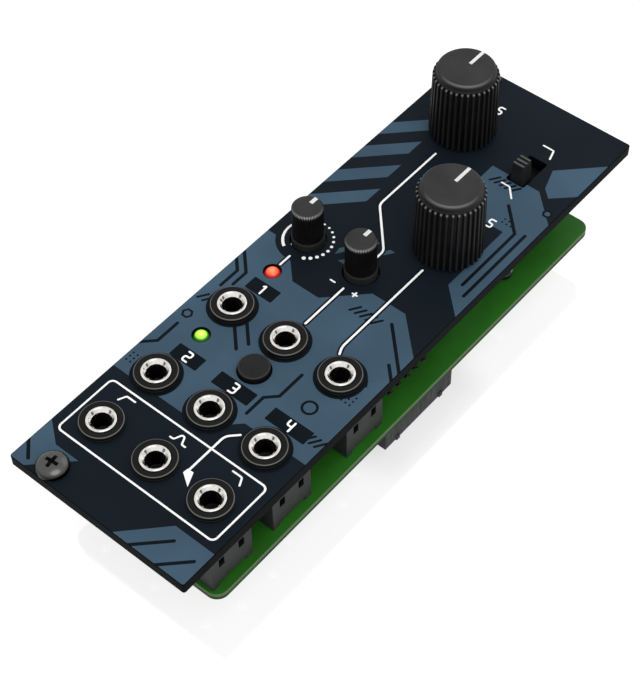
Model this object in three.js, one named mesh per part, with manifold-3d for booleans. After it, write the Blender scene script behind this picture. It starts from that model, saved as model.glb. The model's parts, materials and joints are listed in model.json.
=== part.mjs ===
// A voltage-controlled filter module for a modular synthesizer rack.
// Front panel, circuit board, nine jacks, four rotary controls, a slide switch,
// a push button and two lights.
// Millimetres. X runs across the panel, Y up the panel and Z out of its front.
// The origin is on the panel's rear face, in the middle of the lower rack screw line.

import * as THREE from 'three';
import { mergeVertices } from 'three/addons/utils/BufferGeometryUtils.js';
import Module from 'manifold-3d';

const wasm = await Module();
wasm.setup();

// Shared clearances
const cutOverrun = 1;
const runningClearance = 0.1;
const panelClearance = 0.1;
const seatClearance = 0.1;

// Front panel
const panelWidth = 40.3;
const panelHeight = 128.5;
const panelThickness = 2.5;
const panelCornerRadius = 0.5;
const railLineInset = 3;
const railLineSpacing = panelHeight - 2 * railLineInset;

// Columns of the controls, as shares of the panel's width from its middle
const jackColumnShare = 0.315;
const upperLargeKnobColumnShare = -0.1975;
const rightControlColumnShare = 0.2135;

// Rows of the controls, as shares of the way from the lower rail line to the upper one
const lowerJackRowShare = 0.0965;
const middleJackRowShare = 0.208;
const upperJackRowShare = 0.3715;
const buttonRowShare = 0.303;
const lowerLightRowShare = 0.303;
const upperLightRowShare = 0.4617;
const smallKnobRowShare = 0.5453;
const lowerLargeKnobRowShare = 0.6687;
const upperLargeKnobRowShare = 0.884;
const switchRowShare = 0.8722;

// Circuit board
const boardGap = 13.5;
const boardThickness = 1.6;
const boardSideInset = 0.95;
const boardLowerInset = 4.95;
const boardUpperInset = 6.25;
const boardCornerRadius = 2.5;
const boardWidth = panelWidth - 2 * boardSideInset;

// Jack housing
const housingWidth = 9.6;
const housingShortSide = 4.1;
const housingLongSide = 6.1;
const housingFootHeight = 0.9;
const housingFootLength = 1.7;
const housingWindowWidth = 1.3;
const housingWindowHeight = 2.1;
const housingWindowDepth = 1.3;
const housingWindowDrop = 6.1;
const housingWindowSpacing = 5;
const plugBoreRadius = 1.85;
const plugBoreFloor = 1.4;

// Jack bushing and its round nut
const bushingRadius = 2.85;
const bushingRise = 1.25;
const bushingFlangeRadius = 3.9;
const bushingFlangeHeight = 0.8;
const bushingBoreRadius = 1.8;
const bushingMouthRadius = 2.35;
const bushingMouthDepth = 0.65;
const bushingLipRadius = 2.7;
const bushingChamferHeight = 0.2;
const jackNutBaseRadius = 4.2;
const jackNutBaseHeight = 0.3;
const jackNutRadius = 4.1;
const jackNutTopRadius = 3.95;
const jackNutHeight = 1.05;
const jackNutBevelHeight = 0.2;

// Large potentiometer
const largePotWidth = 9.8;
const largePotLength = 11;
const largePotHeight = 6.8;
const largePotCollarRadius = 4.4;
const largePotThreadRadius = 3.5;
const largePotThreadRise = 2.9;
const largeShaftRadius = 3;
const largeShaftFlat = 1.6;
const largeShaftFlatLength = 7.5;
const largeShaftRise = 13;
const largeShaftSink = 3.4;
const largeWasherRadius = 5;
const largeWasherThickness = 0.5;
const largeNutAcrossFlats = 9;
const largeNutHeight = 2;

// Large knob
const largeKnobBaseRadius = 6.75;
const largeKnobShoulderRadius = 6.45;
const largeKnobRibDepth = 0.5;
const largeKnobHeight = 16.5;
const largeKnobPanelGap = 0.4;
const largeKnobShoulderDrop = 1.45;
const largeKnobRibSlope = 0.45;
const largeKnobCapRadius = 5.75;
const largeKnobTopRadius = 5.3;
const largeKnobBevelHeight = 0.45;
const largeKnobRecessRadius = 5.5;
const largeKnobRecessDepth = 3.2;
const largeKnobShaftClearance = 0.15;
const largePointerWidth = 0.7;
const largePointerInner = 1.1;
const largePointerDepth = 0.25;

// Small potentiometer and its one-piece shaft knob
const smallPotWidth = 9.5;
const smallPotLength = 10.5;
const smallPotHeight = 6.8;
const smallStemRadius = 2.5;
const smallStemSink = 3;
const smallPanelHoleRadius = 3.45;
const smallCollarRadius = 3.2;
const smallCollarRise = 1.5;
const smallCollarSink = 5;
const smallKnobRadius = 3;
const smallKnobRibDepth = 0.28;
const smallKnobHeight = 9;
const smallKnobCapRadius = 2.68;
const smallKnobCapHeight = 0.35;
const smallPointerWidth = 0.8;
const smallPointerInner = 1;
const smallPointerDepth = 0.25;

// Solder legs of both potentiometers
const potLegWidth = 1;
const potLegThickness = 0.4;
const potLegPitch = 2.5;
const potLegHeight = 2.6;

// Slide switch
const slotWidth = 4;
const slotEndClearance = 0.25;
const switchTravel = 4;
const leverWidth = 2.75;
const leverLength = 3.4;
const slotLength = leverLength + switchTravel + 2 * slotEndClearance;
const leverTopWidth = 2.4;
const leverTopLength = 2.65;
const leverRise = 4.4;
const leverTaperStart = 0.3;
const leverRidgeHeight = 0.4;
const leverFootWidth = 4.6;
const leverFootLength = 6.6;
const leverFootHeight = 1.2;
const leverRidges = 3;
const switchFrameWidth = 6.6;
const switchFrameLength = 13;
const switchFrameHeight = 9.5;
const switchFrameWall = 0.5;
const switchTabWidth = 1.5;
const switchTabReach = 1.1;

// Push button
const capRadius = 2.95;
const capHoleRadius = 3.1;
const capRise = 1.25;
const capRimHeight = 0.3;
const capRimInset = 0.35;
const capThickness = 3.2;
const capStemRadius = 1.7;
const capTravel = 0.5;
const capStemSink = 1.2;
const buttonBodySide = 6;
const buttonBodyHeight = 3.5;
const buttonNeckRadius = 2.3;
const buttonNeckHeight = 1;
const buttonCornerCut = 0.8;

// Indicator lights and their spacers
const lightRadius = 1.5;
const lightRise = 0.4;
const lightBodyLength = 4.3;
const lightDomeHeight = 1.1;
const lightFlangeRadius = 1.9;
const lightFlangeHeight = 1;
const lightLegSide = 0.5;
const lightLegPitch = 1.27;
const spacerRadius = 1.9;
const spacerBoreRadius = 1.25;

// Power header below the board
const headerEdgeGap = 1.85;
const headerRowShare = 0.515;
const headerWidth = 8.9;
const headerLength = 20.3;
const headerHeight = 8.6;
const headerWall = 1.2;
const headerFloor = 2.5;
const headerKeyWidth = 4.5;
const headerRibWidth = 1;
const headerRibHeight = 1.2;
const headerRibReach = 0.3;
const headerRibSpacing = 13.1;
const pinSide = 0.64;
const pinPitch = 2.54;
const pinHoleSide = 0.95;
const pinTopRise = 0.8;
const pinMouthInset = 0.9;
const pinRows = 5;

// Rack screws
const screwEdgeInset = 7.5;
const screwRadius = 1.5;
const screwHoleRadius = 1.7;
const screwHoleStretch = 0.8;
const screwLength = 5;
const screwHeadRadius = 2.95;
const screwHeadEdge = 0.6;
const screwHeadHeight = 1.9;
const crossWidth = 0.75;
const crossLength = 3;
const crossDepth = 1.1;

// Electrolytic capacitors on the board's upper side
const canEdgeInset = 6.2;
const canPitch = 5.6;
const canSwitchGap = 4.5;
const canRadius = 2;
const canHeight = 7;
const canGrooveHeight = 1.1;
const canGrooveDepth = 0.2;

// Integrated circuits on the board's lower side
const chipWidth = 3.9;
const chipHeight = 1.5;
const chipStandoff = 0.15;
const chipPinPitch = 1.27;
const chipPinWidth = 0.42;
const chipPinReach = 1.05;
const chipPinThickness = 0.22;
const chipEndMargin = 0.54;
const chipColumnShare = -0.1735;
const lowerChipRowShare = 0.196;
const middleChipRowShare = 0.408;
const upperChipRowShare = 0.653;
const shortChipPins = 4;
const longChipPins = 7;

// Roundness of turned and fluted forms
const jackSides = 14;
const shaftSides = 20;
const hiddenSides = 10;
const knobSides = 30;
const cornerSteps = 2;
const domeSteps = 3;
const largeKnobRibs = 36;
const smallKnobRibs = 20;
const ribCrestShare = 0.3;
const largeRibRootShare = 0.4;
const smallRibRootShare = 0;

// Levels and places that follow from the sizes
const panelFront = panelThickness;
const boardTop = -boardGap;
const boardBottom = boardTop - boardThickness;
const rightControlX = columnAt(rightControlColumnShare);
const buttonY = rowAt(buttonRowShare);
const switchY = rowAt(switchRowShare);
const headerX = boardWidth / 2 - headerEdgeGap - headerWidth / 2;
const headerY = rowAt(headerRowShare);

// Finishes
const finishes = {
  panel: finish(0x1b2430, 0.55, 0.3),
  board: finish(0x2a6a22, 0.45, 0.1),
  housing: finish(0x3e403e, 0.6, 0),
  bushing: finish(0xd8d6d0, 0.25, 1),
  nut: finish(0x24221f, 0.4, 0.6),
  knob: finish(0x2c2c2d, 0.65, 0),
  metal: finish(0xa9a9a6, 0.35, 1),
  darkPlastic: finish(0x181818, 0.5, 0),
  bluePlastic: finish(0x26384e, 0.5, 0),
  screw: finish(0x3a3a3c, 0.3, 0.9),
  redLight: finish(0xff5030, 0.2, 0),
  greenLight: finish(0x96e830, 0.2, 0),
  chip: finish(0x202022, 0.55, 0),
};

function columnAt(share) {
  return panelWidth * share;
}

function rowAt(share) {
  return railLineSpacing * share;
}

function finish(color, roughness, metalness) {
  return new THREE.MeshStandardMaterial({ color, roughness, metalness, flatShading: true });
}

// A closed three.js geometry as a solid that can be joined and cut
function solidFrom(geometry) {
  geometry.deleteAttribute('normal');
  geometry.deleteAttribute('uv');
  const welded = mergeVertices(geometry);
  const corners = welded.index.array;
  const triangles = [];
  for (let i = 0; i < corners.length; i += 3) {
    const [a, b, c] = corners.slice(i, i + 3);
    if (a !== b && b !== c && c !== a) triangles.push(a, b, c);
  }
  const mesh = new wasm.Mesh({
    numProp: 3,
    vertProperties: new Float32Array(welded.getAttribute('position').array),
    triVerts: new Uint32Array(triangles),
  });
  return new wasm.Manifold(mesh);
}

function geometryFrom(solid) {
  const mesh = solid.getMesh();
  const geometry = new THREE.BufferGeometry();
  geometry.setAttribute('position', new THREE.BufferAttribute(mesh.vertProperties, 3));
  geometry.setIndex(new THREE.BufferAttribute(mesh.triVerts, 1));
  return geometry;
}

function join(first, ...others) {
  return geometryFrom(others.reduce((sum, other) => sum.add(solidFrom(other)), solidFrom(first)));
}

function cut(body, ...tools) {
  return geometryFrom(tools.reduce((rest, tool) => rest.subtract(solidFrom(tool)), solidFrom(body)));
}

function common(first, second) {
  return geometryFrom(solidFrom(first).intersect(solidFrom(second)));
}

// A block centred on X and Y that stands on a level
function block(width, length, height, x = 0, y = 0, level = 0) {
  return new THREE.BoxGeometry(width, length, height).translate(x, y, level + height / 2);
}

// A form turned about Z; the points are [radius, height], counter-clockwise, and their loop is closed here
function turned(points, sides) {
  const profile = [...points, points[0]].map(([radius, height]) => new THREE.Vector2(radius, height));
  return new THREE.LatheGeometry(profile, sides).rotateX(Math.PI / 2);
}

function rod(radius, bottom, top, sides) {
  return turned([[0, bottom], [radius, bottom], [radius, top], [0, top]], sides);
}

function ringPoints(radius, sides, x = 0, y = 0) {
  return Array.from({ length: sides }, (_, i) => {
    const angle = (2 * Math.PI * i) / sides;
    return new THREE.Vector2(x + radius * Math.cos(angle), y + radius * Math.sin(angle));
  });
}

function prism(shape, bottom, top) {
  const options = { depth: top - bottom, bevelEnabled: false, curveSegments: cornerSteps };
  return new THREE.ExtrudeGeometry(shape, options).translate(0, 0, bottom);
}

// A closed form through rings of equally many points, from the lowest level to the highest
function lofted(rings, levels) {
  const count = rings[0].length;
  const corners = rings.flatMap((ring, i) => ring.flatMap((point) => [point.x, point.y, levels[i]]));
  const faces = [];
  for (let i = 0; i < rings.length - 1; i += 1) {
    for (let j = 0; j < count; j += 1) {
      const next = (j + 1) % count;
      const [a, b, c, d] = [i * count + j, i * count + next, (i + 1) * count + next, (i + 1) * count + j];
      faces.push(a, b, c, a, c, d);
    }
  }
  const lowest = corners.length / 3;
  const highest = lowest + 1;
  corners.push(0, 0, levels[0], 0, 0, levels[levels.length - 1]);
  const lastRing = (rings.length - 1) * count;
  for (let j = 0; j < count; j += 1) {
    const next = (j + 1) % count;
    faces.push(lowest, next, j, highest, lastRing + j, lastRing + next);
  }
  const geometry = new THREE.BufferGeometry();
  geometry.setAttribute('position', new THREE.Float32BufferAttribute(corners, 3));
  geometry.setIndex(faces);
  return geometry;
}

// A plate outline with rounded corners
function roundedPlate(left, right, lower, upper, radius) {
  const shape = new THREE.Shape();
  shape.absarc(right - radius, lower + radius, radius, -Math.PI / 2, 0);
  shape.absarc(right - radius, upper - radius, radius, 0, Math.PI / 2);
  shape.absarc(left + radius, upper - radius, radius, Math.PI / 2, Math.PI);
  shape.absarc(left + radius, lower + radius, radius, Math.PI, 1.5 * Math.PI);
  return shape;
}

function roundHole(radius, sides, x, y) {
  return new THREE.Path(ringPoints(radius, sides, x, y));
}

// The corner radius of a hidden hole whose flats stay at the given radius
function hiddenRadius(radius) {
  return radius / Math.cos(Math.PI / hiddenSides);
}

function coveredHole(radius, x, y) {
  return roundHole(hiddenRadius(radius), hiddenSides, x, y);
}

function squareHole(width, length, x, y) {
  const [halfWidth, halfLength] = [width / 2, length / 2];
  return new THREE.Path([
    new THREE.Vector2(x - halfWidth, y - halfLength),
    new THREE.Vector2(x + halfWidth, y - halfLength),
    new THREE.Vector2(x + halfWidth, y + halfLength),
    new THREE.Vector2(x - halfWidth, y + halfLength),
  ]);
}

// A round hole drawn out sideways, so that the screw can meet its rail nut
function stretchedHole(radius, stretch, sides, x, y) {
  const points = ringPoints(radius, sides).map((point) => {
    point.x += Math.sign(point.x) * stretch;
    return point.add(new THREE.Vector2(x, y));
  });
  return new THREE.Path(points);
}

// Ribs round a circle: each has a crest, two flanks and a root, set by their shares of the rib's pitch
function ribbedRing(crestRadius, rootRadius, ribs, rootShare) {
  const flankShare = (1 - ribCrestShare - rootShare) / 2;
  const corners = [
    [crestRadius, 0],
    [crestRadius, ribCrestShare],
    [rootRadius, ribCrestShare + flankShare],
  ];
  if (rootShare > 0) corners.push([rootRadius, 1 - flankShare]);
  return Array.from({ length: ribs }, (_, i) => corners.map(([radius, share]) => {
    const angle = ((i + share - ribCrestShare / 2) * 2 * Math.PI) / ribs;
    return new THREE.Vector2(radius * Math.cos(angle), radius * Math.sin(angle));
  })).flat();
}

function pointerGroove(inner, outer, width, depth, top) {
  return block(width, outer - inner, depth + cutOverrun, 0, (inner + outer) / 2, top - depth);
}

// Front panel
function frontPanel() {
  const half = panelWidth / 2;
  const upper = panelHeight - railLineInset;
  const shape = roundedPlate(-half, half, -railLineInset, upper, panelCornerRadius);
  for (const { x, y } of jackPlaces()) {
    shape.holes.push(coveredHole(bushingRadius + panelClearance, x, y));
  }
  for (const { x, y } of largeKnobPlaces()) {
    shape.holes.push(coveredHole(largePotThreadRadius + panelClearance, x, y));
  }
  for (const { x, y } of smallKnobPlaces()) {
    shape.holes.push(roundHole(smallPanelHoleRadius, shaftSides, x, y));
  }
  for (const { x, y } of lightPlaces()) {
    shape.holes.push(roundHole(lightRadius + panelClearance, jackSides, x, y));
  }
  shape.holes.push(roundHole(capHoleRadius, shaftSides, 0, buttonY));
  shape.holes.push(squareHole(slotWidth, slotLength, rightControlX, switchY));
  for (const { x, y } of screwPlaces()) {
    shape.holes.push(stretchedHole(screwHoleRadius, screwHoleStretch, hiddenSides, x, y));
  }
  return prism(shape, 0, panelFront);
}

// Circuit board with the holes for the power header's pins
function mainBoard() {
  const half = boardWidth / 2;
  const upper = railLineSpacing - boardUpperInset;
  const shape = roundedPlate(-half, half, boardLowerInset, upper, boardCornerRadius);
  const height = boardThickness + 2 * cutOverrun;
  const holes = pinPlaces().map(([x, y]) => block(
    pinHoleSide, pinHoleSide, height, headerX + x, headerY + y, boardBottom - cutOverrun,
  ));
  return cut(prism(shape, boardBottom, boardTop), ...holes);
}

// Jack housing: its base stands on two feet, and the plug goes down into its bore
function jackHousing(lowerReach, upperReach) {
  const length = lowerReach + upperReach;
  const middle = (upperReach - lowerReach) / 2;
  const body = block(housingWidth, length, boardGap, 0, middle, boardTop);
  const arch = block(
    housingWidth + 2 * cutOverrun, length - 2 * housingFootLength, housingFootHeight + cutOverrun,
    0, middle, boardTop - cutOverrun,
  );
  const seatFloor = -bushingFlangeHeight;
  const boreRadius = hiddenRadius(plugBoreRadius);
  const seatRadius = hiddenRadius(bushingFlangeRadius + seatClearance);
  const bore = turned([
    [0, boardTop + plugBoreFloor],
    [boreRadius, boardTop + plugBoreFloor],
    [boreRadius, seatFloor],
    [seatRadius, seatFloor],
    [seatRadius, cutOverrun],
    [0, cutOverrun],
  ], hiddenSides);
  return cut(body, arch, bore, ...housingWindows(middle));
}

// Two windows in each side wall
function housingWindows(middle) {
  const level = -housingWindowDrop - housingWindowHeight;
  const depth = housingWindowDepth + cutOverrun;
  const x = housingWidth / 2 - housingWindowDepth + depth / 2;
  const reach = housingWindowSpacing / 2;
  return [[-1, -1], [-1, 1], [1, -1], [1, 1]].map(([side, end]) => block(
    depth, housingWindowWidth, housingWindowHeight, side * x, middle + end * reach, level,
  ));
}

// Threaded bushing with a flange under the panel and a coned mouth for the plug
function jackBushing() {
  const top = panelFront + bushingRise;
  return turned([
    [bushingBoreRadius, -bushingFlangeHeight],
    [bushingFlangeRadius, -bushingFlangeHeight],
    [bushingFlangeRadius, 0],
    [bushingRadius, 0],
    [bushingRadius, top - bushingChamferHeight],
    [bushingLipRadius, top],
    [bushingMouthRadius, top],
    [bushingBoreRadius, top - bushingMouthDepth],
  ], jackSides);
}

function jackNut() {
  const inner = bushingRadius + runningClearance;
  const top = panelFront + jackNutHeight;
  return turned([
    [inner, panelFront],
    [jackNutBaseRadius, panelFront],
    [jackNutBaseRadius, panelFront + jackNutBaseHeight],
    [jackNutRadius, top - jackNutBevelHeight],
    [jackNutTopRadius, top],
    [inner, top],
  ], jackSides);
}

// Large potentiometer: case, collar up to the panel, threaded neck and three solder legs
function largePotBody() {
  const caseTop = boardTop + largePotHeight;
  const neckTop = panelFront + largePotThreadRise;
  const neck = turned([
    [0, caseTop - cutOverrun],
    [largePotCollarRadius, caseTop - cutOverrun],
    [largePotCollarRadius, 0],
    [largePotThreadRadius, 0],
    [largePotThreadRadius, neckTop],
    [0, neckTop],
  ], shaftSides);
  const box = block(largePotWidth, largePotLength, largePotHeight, 0, 0, boardTop);
  const bottom = caseTop - largeShaftSink - runningClearance;
  const bore = rod(largeShaftRadius + runningClearance, bottom, neckTop + cutOverrun, shaftSides);
  return cut(join(box, neck, ...potLegs(largePotLength)), bore);
}

// Solder legs that come out of the lower side of a potentiometer's case and stand on the board
function potLegs(caseLength) {
  const reach = potLegThickness * 2;
  return [-1, 0, 1].map((i) => block(
    potLegWidth, reach, potLegHeight, i * potLegPitch, -caseLength / 2 - potLegThickness / 2, boardTop,
  ));
}

function largeShaft() {
  const bottom = boardTop + largePotHeight - largeShaftSink;
  const top = panelFront + largeShaftRise;
  return cut(rod(largeShaftRadius, bottom, top, shaftSides), shaftFlatBlock(0, top));
}

// What is taken off a shaft to leave its flat
function shaftFlatBlock(gap, top) {
  const depth = largeShaftRadius + cutOverrun - largeShaftFlat - gap;
  const y = -(largeShaftFlat + gap) - depth / 2;
  const height = largeShaftFlatLength + cutOverrun;
  return block(2 * largeShaftRadius + 2 * cutOverrun, depth, height, 0, y, top - largeShaftFlatLength);
}

function largeWasher() {
  const inner = largePotThreadRadius + runningClearance;
  const top = panelFront + largeWasherThickness;
  return turned([
    [inner, panelFront],
    [largeWasherRadius, panelFront],
    [largeWasherRadius, top],
    [inner, top],
  ], shaftSides);
}

function largeNut() {
  const bottom = panelFront + largeWasherThickness;
  const hexagon = new THREE.Shape(ringPoints(largeNutAcrossFlats / Math.sqrt(3), 6));
  hexagon.holes.push(roundHole(largePotThreadRadius + runningClearance, shaftSides, 0, 0));
  return prism(hexagon, bottom, bottom + largeNutHeight);
}

// Large knob: tapered ribs, sloped where they end, below a smooth bevelled cap
function largeKnob() {
  const base = panelFront + largeKnobPanelGap;
  const top = panelFront + largeKnobHeight;
  const shoulder = top - largeKnobShoulderDrop;
  const shoulderRoot = largeKnobShoulderRadius - largeKnobRibDepth;
  const rings = [
    [largeKnobBaseRadius, largeKnobBaseRadius - largeKnobRibDepth],
    [largeKnobShoulderRadius, shoulderRoot],
    [shoulderRoot, shoulderRoot],
  ].map(([crest, root]) => ribbedRing(crest, root, largeKnobRibs, largeRibRootShare));
  const skirt = lofted(rings, [base, shoulder - largeKnobRibSlope, shoulder]);
  const capFoot = shoulder - largeKnobBevelHeight;
  const cap = turned([
    [0, capFoot],
    [largeKnobCapRadius, capFoot],
    [largeKnobCapRadius, top - largeKnobBevelHeight],
    [largeKnobTopRadius, top],
    [0, top],
  ], knobSides);
  return cut(join(skirt, cap), ...largeKnobCuts(base, top));
}

// The recess over the nut, the bore for the shaft with its flat, and the pointer's groove
function largeKnobCuts(base, top) {
  const shaftTop = panelFront + largeShaftRise;
  const boreTop = shaftTop + largeKnobShaftClearance;
  const recess = rod(largeKnobRecessRadius, base - cutOverrun, base + largeKnobRecessDepth, shaftSides);
  const round = rod(largeShaftRadius + largeKnobShaftClearance, base, boreTop, shaftSides);
  const bore = cut(round, shaftFlatBlock(largeKnobShaftClearance, boreTop));
  const groove = pointerGroove(
    largePointerInner, largeKnobTopRadius, largePointerWidth, largePointerDepth, top,
  );
  return [recess, bore, groove];
}

function smallPotBody() {
  const caseTop = boardTop + smallPotHeight;
  const box = block(smallPotWidth, smallPotLength, smallPotHeight, 0, 0, boardTop);
  const bottom = caseTop - smallStemSink - runningClearance;
  const bore = rod(smallStemRadius + runningClearance, bottom, caseTop + cutOverrun, shaftSides);
  return cut(join(box, ...potLegs(smallPotLength)), bore);
}

// Small knob: stem, smooth collar and fine ribs in one piece
function smallKnob() {
  const top = panelFront + smallKnobHeight;
  const collarTop = panelFront + smallCollarRise;
  const capFoot = top - smallKnobCapHeight;
  const root = smallKnobRadius - smallKnobRibDepth;
  const ring = ribbedRing(smallKnobRadius, root, smallKnobRibs, smallRibRootShare);
  const ribs = prism(new THREE.Shape(ring), collarTop, capFoot);
  const core = turned([
    [0, boardTop + smallPotHeight - smallStemSink],
    [smallStemRadius, boardTop + smallPotHeight - smallStemSink],
    [smallStemRadius, panelFront - smallCollarSink],
    [smallCollarRadius, panelFront - smallCollarSink],
    [smallCollarRadius, collarTop],
    [smallStemRadius, collarTop],
    [smallStemRadius, capFoot],
    [smallKnobCapRadius, capFoot],
    [smallKnobCapRadius - smallKnobCapHeight / 2, top],
    [0, top],
  ], shaftSides);
  const outer = smallKnobRadius + cutOverrun;
  const groove = pointerGroove(smallPointerInner, outer, smallPointerWidth, smallPointerDepth, top);
  return cut(join(core, ribs), groove);
}

// Slide switch: moulded base, pressed frame over it, and the lever that slides between them
function switchBase() {
  const inside = 2 * (switchFrameWall + seatClearance);
  return block(switchFrameWidth - inside, switchFrameLength - inside, switchBaseHeight(), 0, 0, boardTop);
}

function switchBaseHeight() {
  return switchFrameHeight - switchFrameWall - leverFootHeight - 2 * runningClearance;
}

function switchFrame() {
  const shell = block(switchFrameWidth, switchFrameLength, switchFrameHeight, 0, 0, boardTop);
  const cavity = block(
    switchFrameWidth - 2 * switchFrameWall, switchFrameLength - 2 * switchFrameWall,
    switchFrameHeight - switchFrameWall + cutOverrun, 0, 0, boardTop - cutOverrun,
  );
  const roof = boardTop + switchFrameHeight - switchFrameWall;
  const slot = block(
    leverWidth + 2 * slotEndClearance, slotLength, switchFrameWall + 2 * cutOverrun,
    0, 0, roof - cutOverrun,
  );
  const tabY = (switchFrameLength + switchTabReach) / 2;
  const tabs = [-1, 1].map((end) => block(
    switchTabWidth, switchTabReach, switchFrameWall, 0, end * tabY, boardTop,
  ));
  return join(cut(shell, cavity, slot), ...tabs);
}

// The lever at rest stands at the lower end of its slot
function switchLever() {
  const footLevel = boardTop + switchBaseHeight() + runningClearance;
  const stemTop = panelFront + leverRise;
  const taperLevel = panelFront + leverTaperStart;
  const crossOutline = leverOutline(leverWidth, leverTopWidth, footLevel, taperLevel, stemTop);
  const alongOutline = leverOutline(leverLength, leverTopLength, footLevel, taperLevel, stemTop);
  const across = prism(crossOutline, -leverLength, leverLength).rotateX(Math.PI / 2);
  const along = prism(alongOutline, -leverWidth, leverWidth).rotateX(Math.PI / 2).rotateZ(Math.PI / 2);
  const foot = block(leverFootWidth, leverFootLength, leverFootHeight, 0, 0, footLevel);
  const lever = cut(join(common(across, along), foot), ...leverGrooves(stemTop));
  return lever.translate(0, -switchTravel / 2, 0);
}

function leverOutline(size, topSize, bottom, taperLevel, top) {
  return new THREE.Shape([
    new THREE.Vector2(-size / 2, bottom),
    new THREE.Vector2(size / 2, bottom),
    new THREE.Vector2(size / 2, taperLevel),
    new THREE.Vector2(topSize / 2, top),
    new THREE.Vector2(-topSize / 2, top),
    new THREE.Vector2(-size / 2, taperLevel),
  ]);
}

// Grooves across the lever's top, as wide as the finger ridges that they leave
function leverGrooves(top) {
  const width = leverTopLength / (2 * leverRidges - 1);
  const level = top - leverRidgeHeight;
  return Array.from({ length: leverRidges - 1 }, (_, i) => {
    const y = (2 * i + 2 - leverRidges) * width;
    return block(leverWidth + cutOverrun, width, leverRidgeHeight + cutOverrun, 0, y, level);
  });
}

// Push button: the cap's stem runs down into the neck of the switch below
function buttonCap() {
  const top = panelFront + capRise;
  const bottom = top - capThickness;
  const stemBottom = boardTop + buttonBodyHeight + buttonNeckHeight - capStemSink;
  return turned([
    [0, stemBottom],
    [capStemRadius, stemBottom],
    [capStemRadius, bottom],
    [capRadius, bottom],
    [capRadius, top - capRimHeight],
    [capRadius - capRimInset, top],
    [0, top],
  ], shaftSides);
}

function buttonBody() {
  const neckTop = boardTop + buttonBodyHeight + buttonNeckHeight;
  const whole = block(buttonBodySide, buttonBodySide, buttonBodyHeight, 0, 0, boardTop);
  const box = cut(whole, ...cornerCuts());
  const neck = rod(buttonNeckRadius, boardTop + buttonBodyHeight - cutOverrun, neckTop, shaftSides);
  const well = rod(
    capStemRadius + runningClearance, neckTop - capStemSink - capTravel - runningClearance,
    neckTop + cutOverrun, shaftSides,
  );
  return cut(join(box, neck), well);
}

// The switch body's corners are cut back over their upper half
function cornerCuts() {
  const side = 2 * buttonCornerCut;
  const height = buttonBodyHeight / 2 + cutOverrun;
  const reach = buttonBodySide / 2;
  return [[-1, -1], [1, -1], [1, 1], [-1, 1]].map(([x, y]) => block(
    side, side, height, x * reach, y * reach, boardTop + buttonBodyHeight / 2,
  ));
}

// Profile points of a dome, from just above its start to its crown on the axis
function domePoints(radius, start, height) {
  return Array.from({ length: domeSteps }, (_, i) => {
    const angle = ((Math.PI / 2) * (i + 1)) / domeSteps;
    const reach = i + 1 < domeSteps ? radius * Math.cos(angle) : 0;
    return [reach, start + height * Math.sin(angle)];
  });
}

// Indicator light: flange, domed body and two legs down to the board
function indicatorLight() {
  const top = panelFront + lightRise;
  const flangeTop = top - lightBodyLength;
  const flangeBottom = flangeTop - lightFlangeHeight;
  const domeStart = top - lightDomeHeight;
  const body = turned([
    [0, flangeBottom],
    [lightFlangeRadius, flangeBottom],
    [lightFlangeRadius, flangeTop],
    [lightRadius, flangeTop],
    [lightRadius, domeStart],
    ...domePoints(lightRadius, domeStart, lightDomeHeight),
  ], jackSides);
  const legTop = flangeBottom + lightFlangeHeight / 2;
  const legs = [-1, 1].map((side) => block(
    lightLegSide, lightLegSide, legTop - boardTop, 0, side * lightLegPitch / 2, boardTop,
  ));
  return join(body, ...legs);
}

function lightSpacer() {
  const top = panelFront + lightRise - lightBodyLength - lightFlangeHeight;
  return turned([
    [spacerBoreRadius, boardTop],
    [spacerRadius, boardTop],
    [spacerRadius, top],
    [spacerBoreRadius, top],
  ], jackSides);
}

// Power header: shroud with a keyway, its pins standing in it and through the board
function powerHeader() {
  const mouth = boardBottom - headerHeight;
  const shroud = block(headerWidth, headerLength, headerHeight, 0, 0, mouth);
  const cavity = block(
    headerWidth - 2 * headerWall, headerLength - 2 * headerWall, headerHeight - headerFloor + cutOverrun,
    0, 0, mouth - cutOverrun,
  );
  const key = block(
    headerWall + 2 * cutOverrun, headerKeyWidth, headerHeight - headerFloor + cutOverrun,
    (headerWall - headerWidth) / 2, 0, mouth - cutOverrun,
  );
  const ribs = [-1, 1].map((end) => block(
    headerRibReach + headerWall / 2, headerRibWidth, headerRibHeight,
    headerWidth / 2 + (headerRibReach - headerWall / 2) / 2, end * headerRibSpacing / 2, mouth,
  ));
  const pinBottom = mouth + pinMouthInset;
  const pinLength = boardTop + pinTopRise - pinBottom;
  const pins = pinPlaces().map(([x, y]) => block(pinSide, pinSide, pinLength, x, y, pinBottom));
  return join(cut(shroud, cavity, key), ...ribs, ...pins);
}

function pinPlaces() {
  const middle = (pinRows - 1) / 2;
  const rows = Array.from({ length: pinRows }, (_, i) => (i - middle) * pinPitch);
  return rows.flatMap((y) => [[-pinPitch / 2, y], [pinPitch / 2, y]]);
}

// Rack screw: domed head with a cross recess
function rackScrew() {
  const edge = panelFront + screwHeadEdge;
  const top = panelFront + screwHeadHeight;
  const screw = turned([
    [0, panelFront - screwLength],
    [screwRadius, panelFront - screwLength],
    [screwRadius, panelFront],
    [screwHeadRadius, panelFront],
    [screwHeadRadius, edge],
    ...domePoints(screwHeadRadius, edge, top - edge),
  ], jackSides);
  const level = top - crossDepth;
  const bars = [
    block(crossWidth, crossLength, crossDepth + cutOverrun, 0, 0, level),
    block(crossLength, crossWidth, crossDepth + cutOverrun, 0, 0, level),
  ];
  return cut(screw, ...bars);
}

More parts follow.
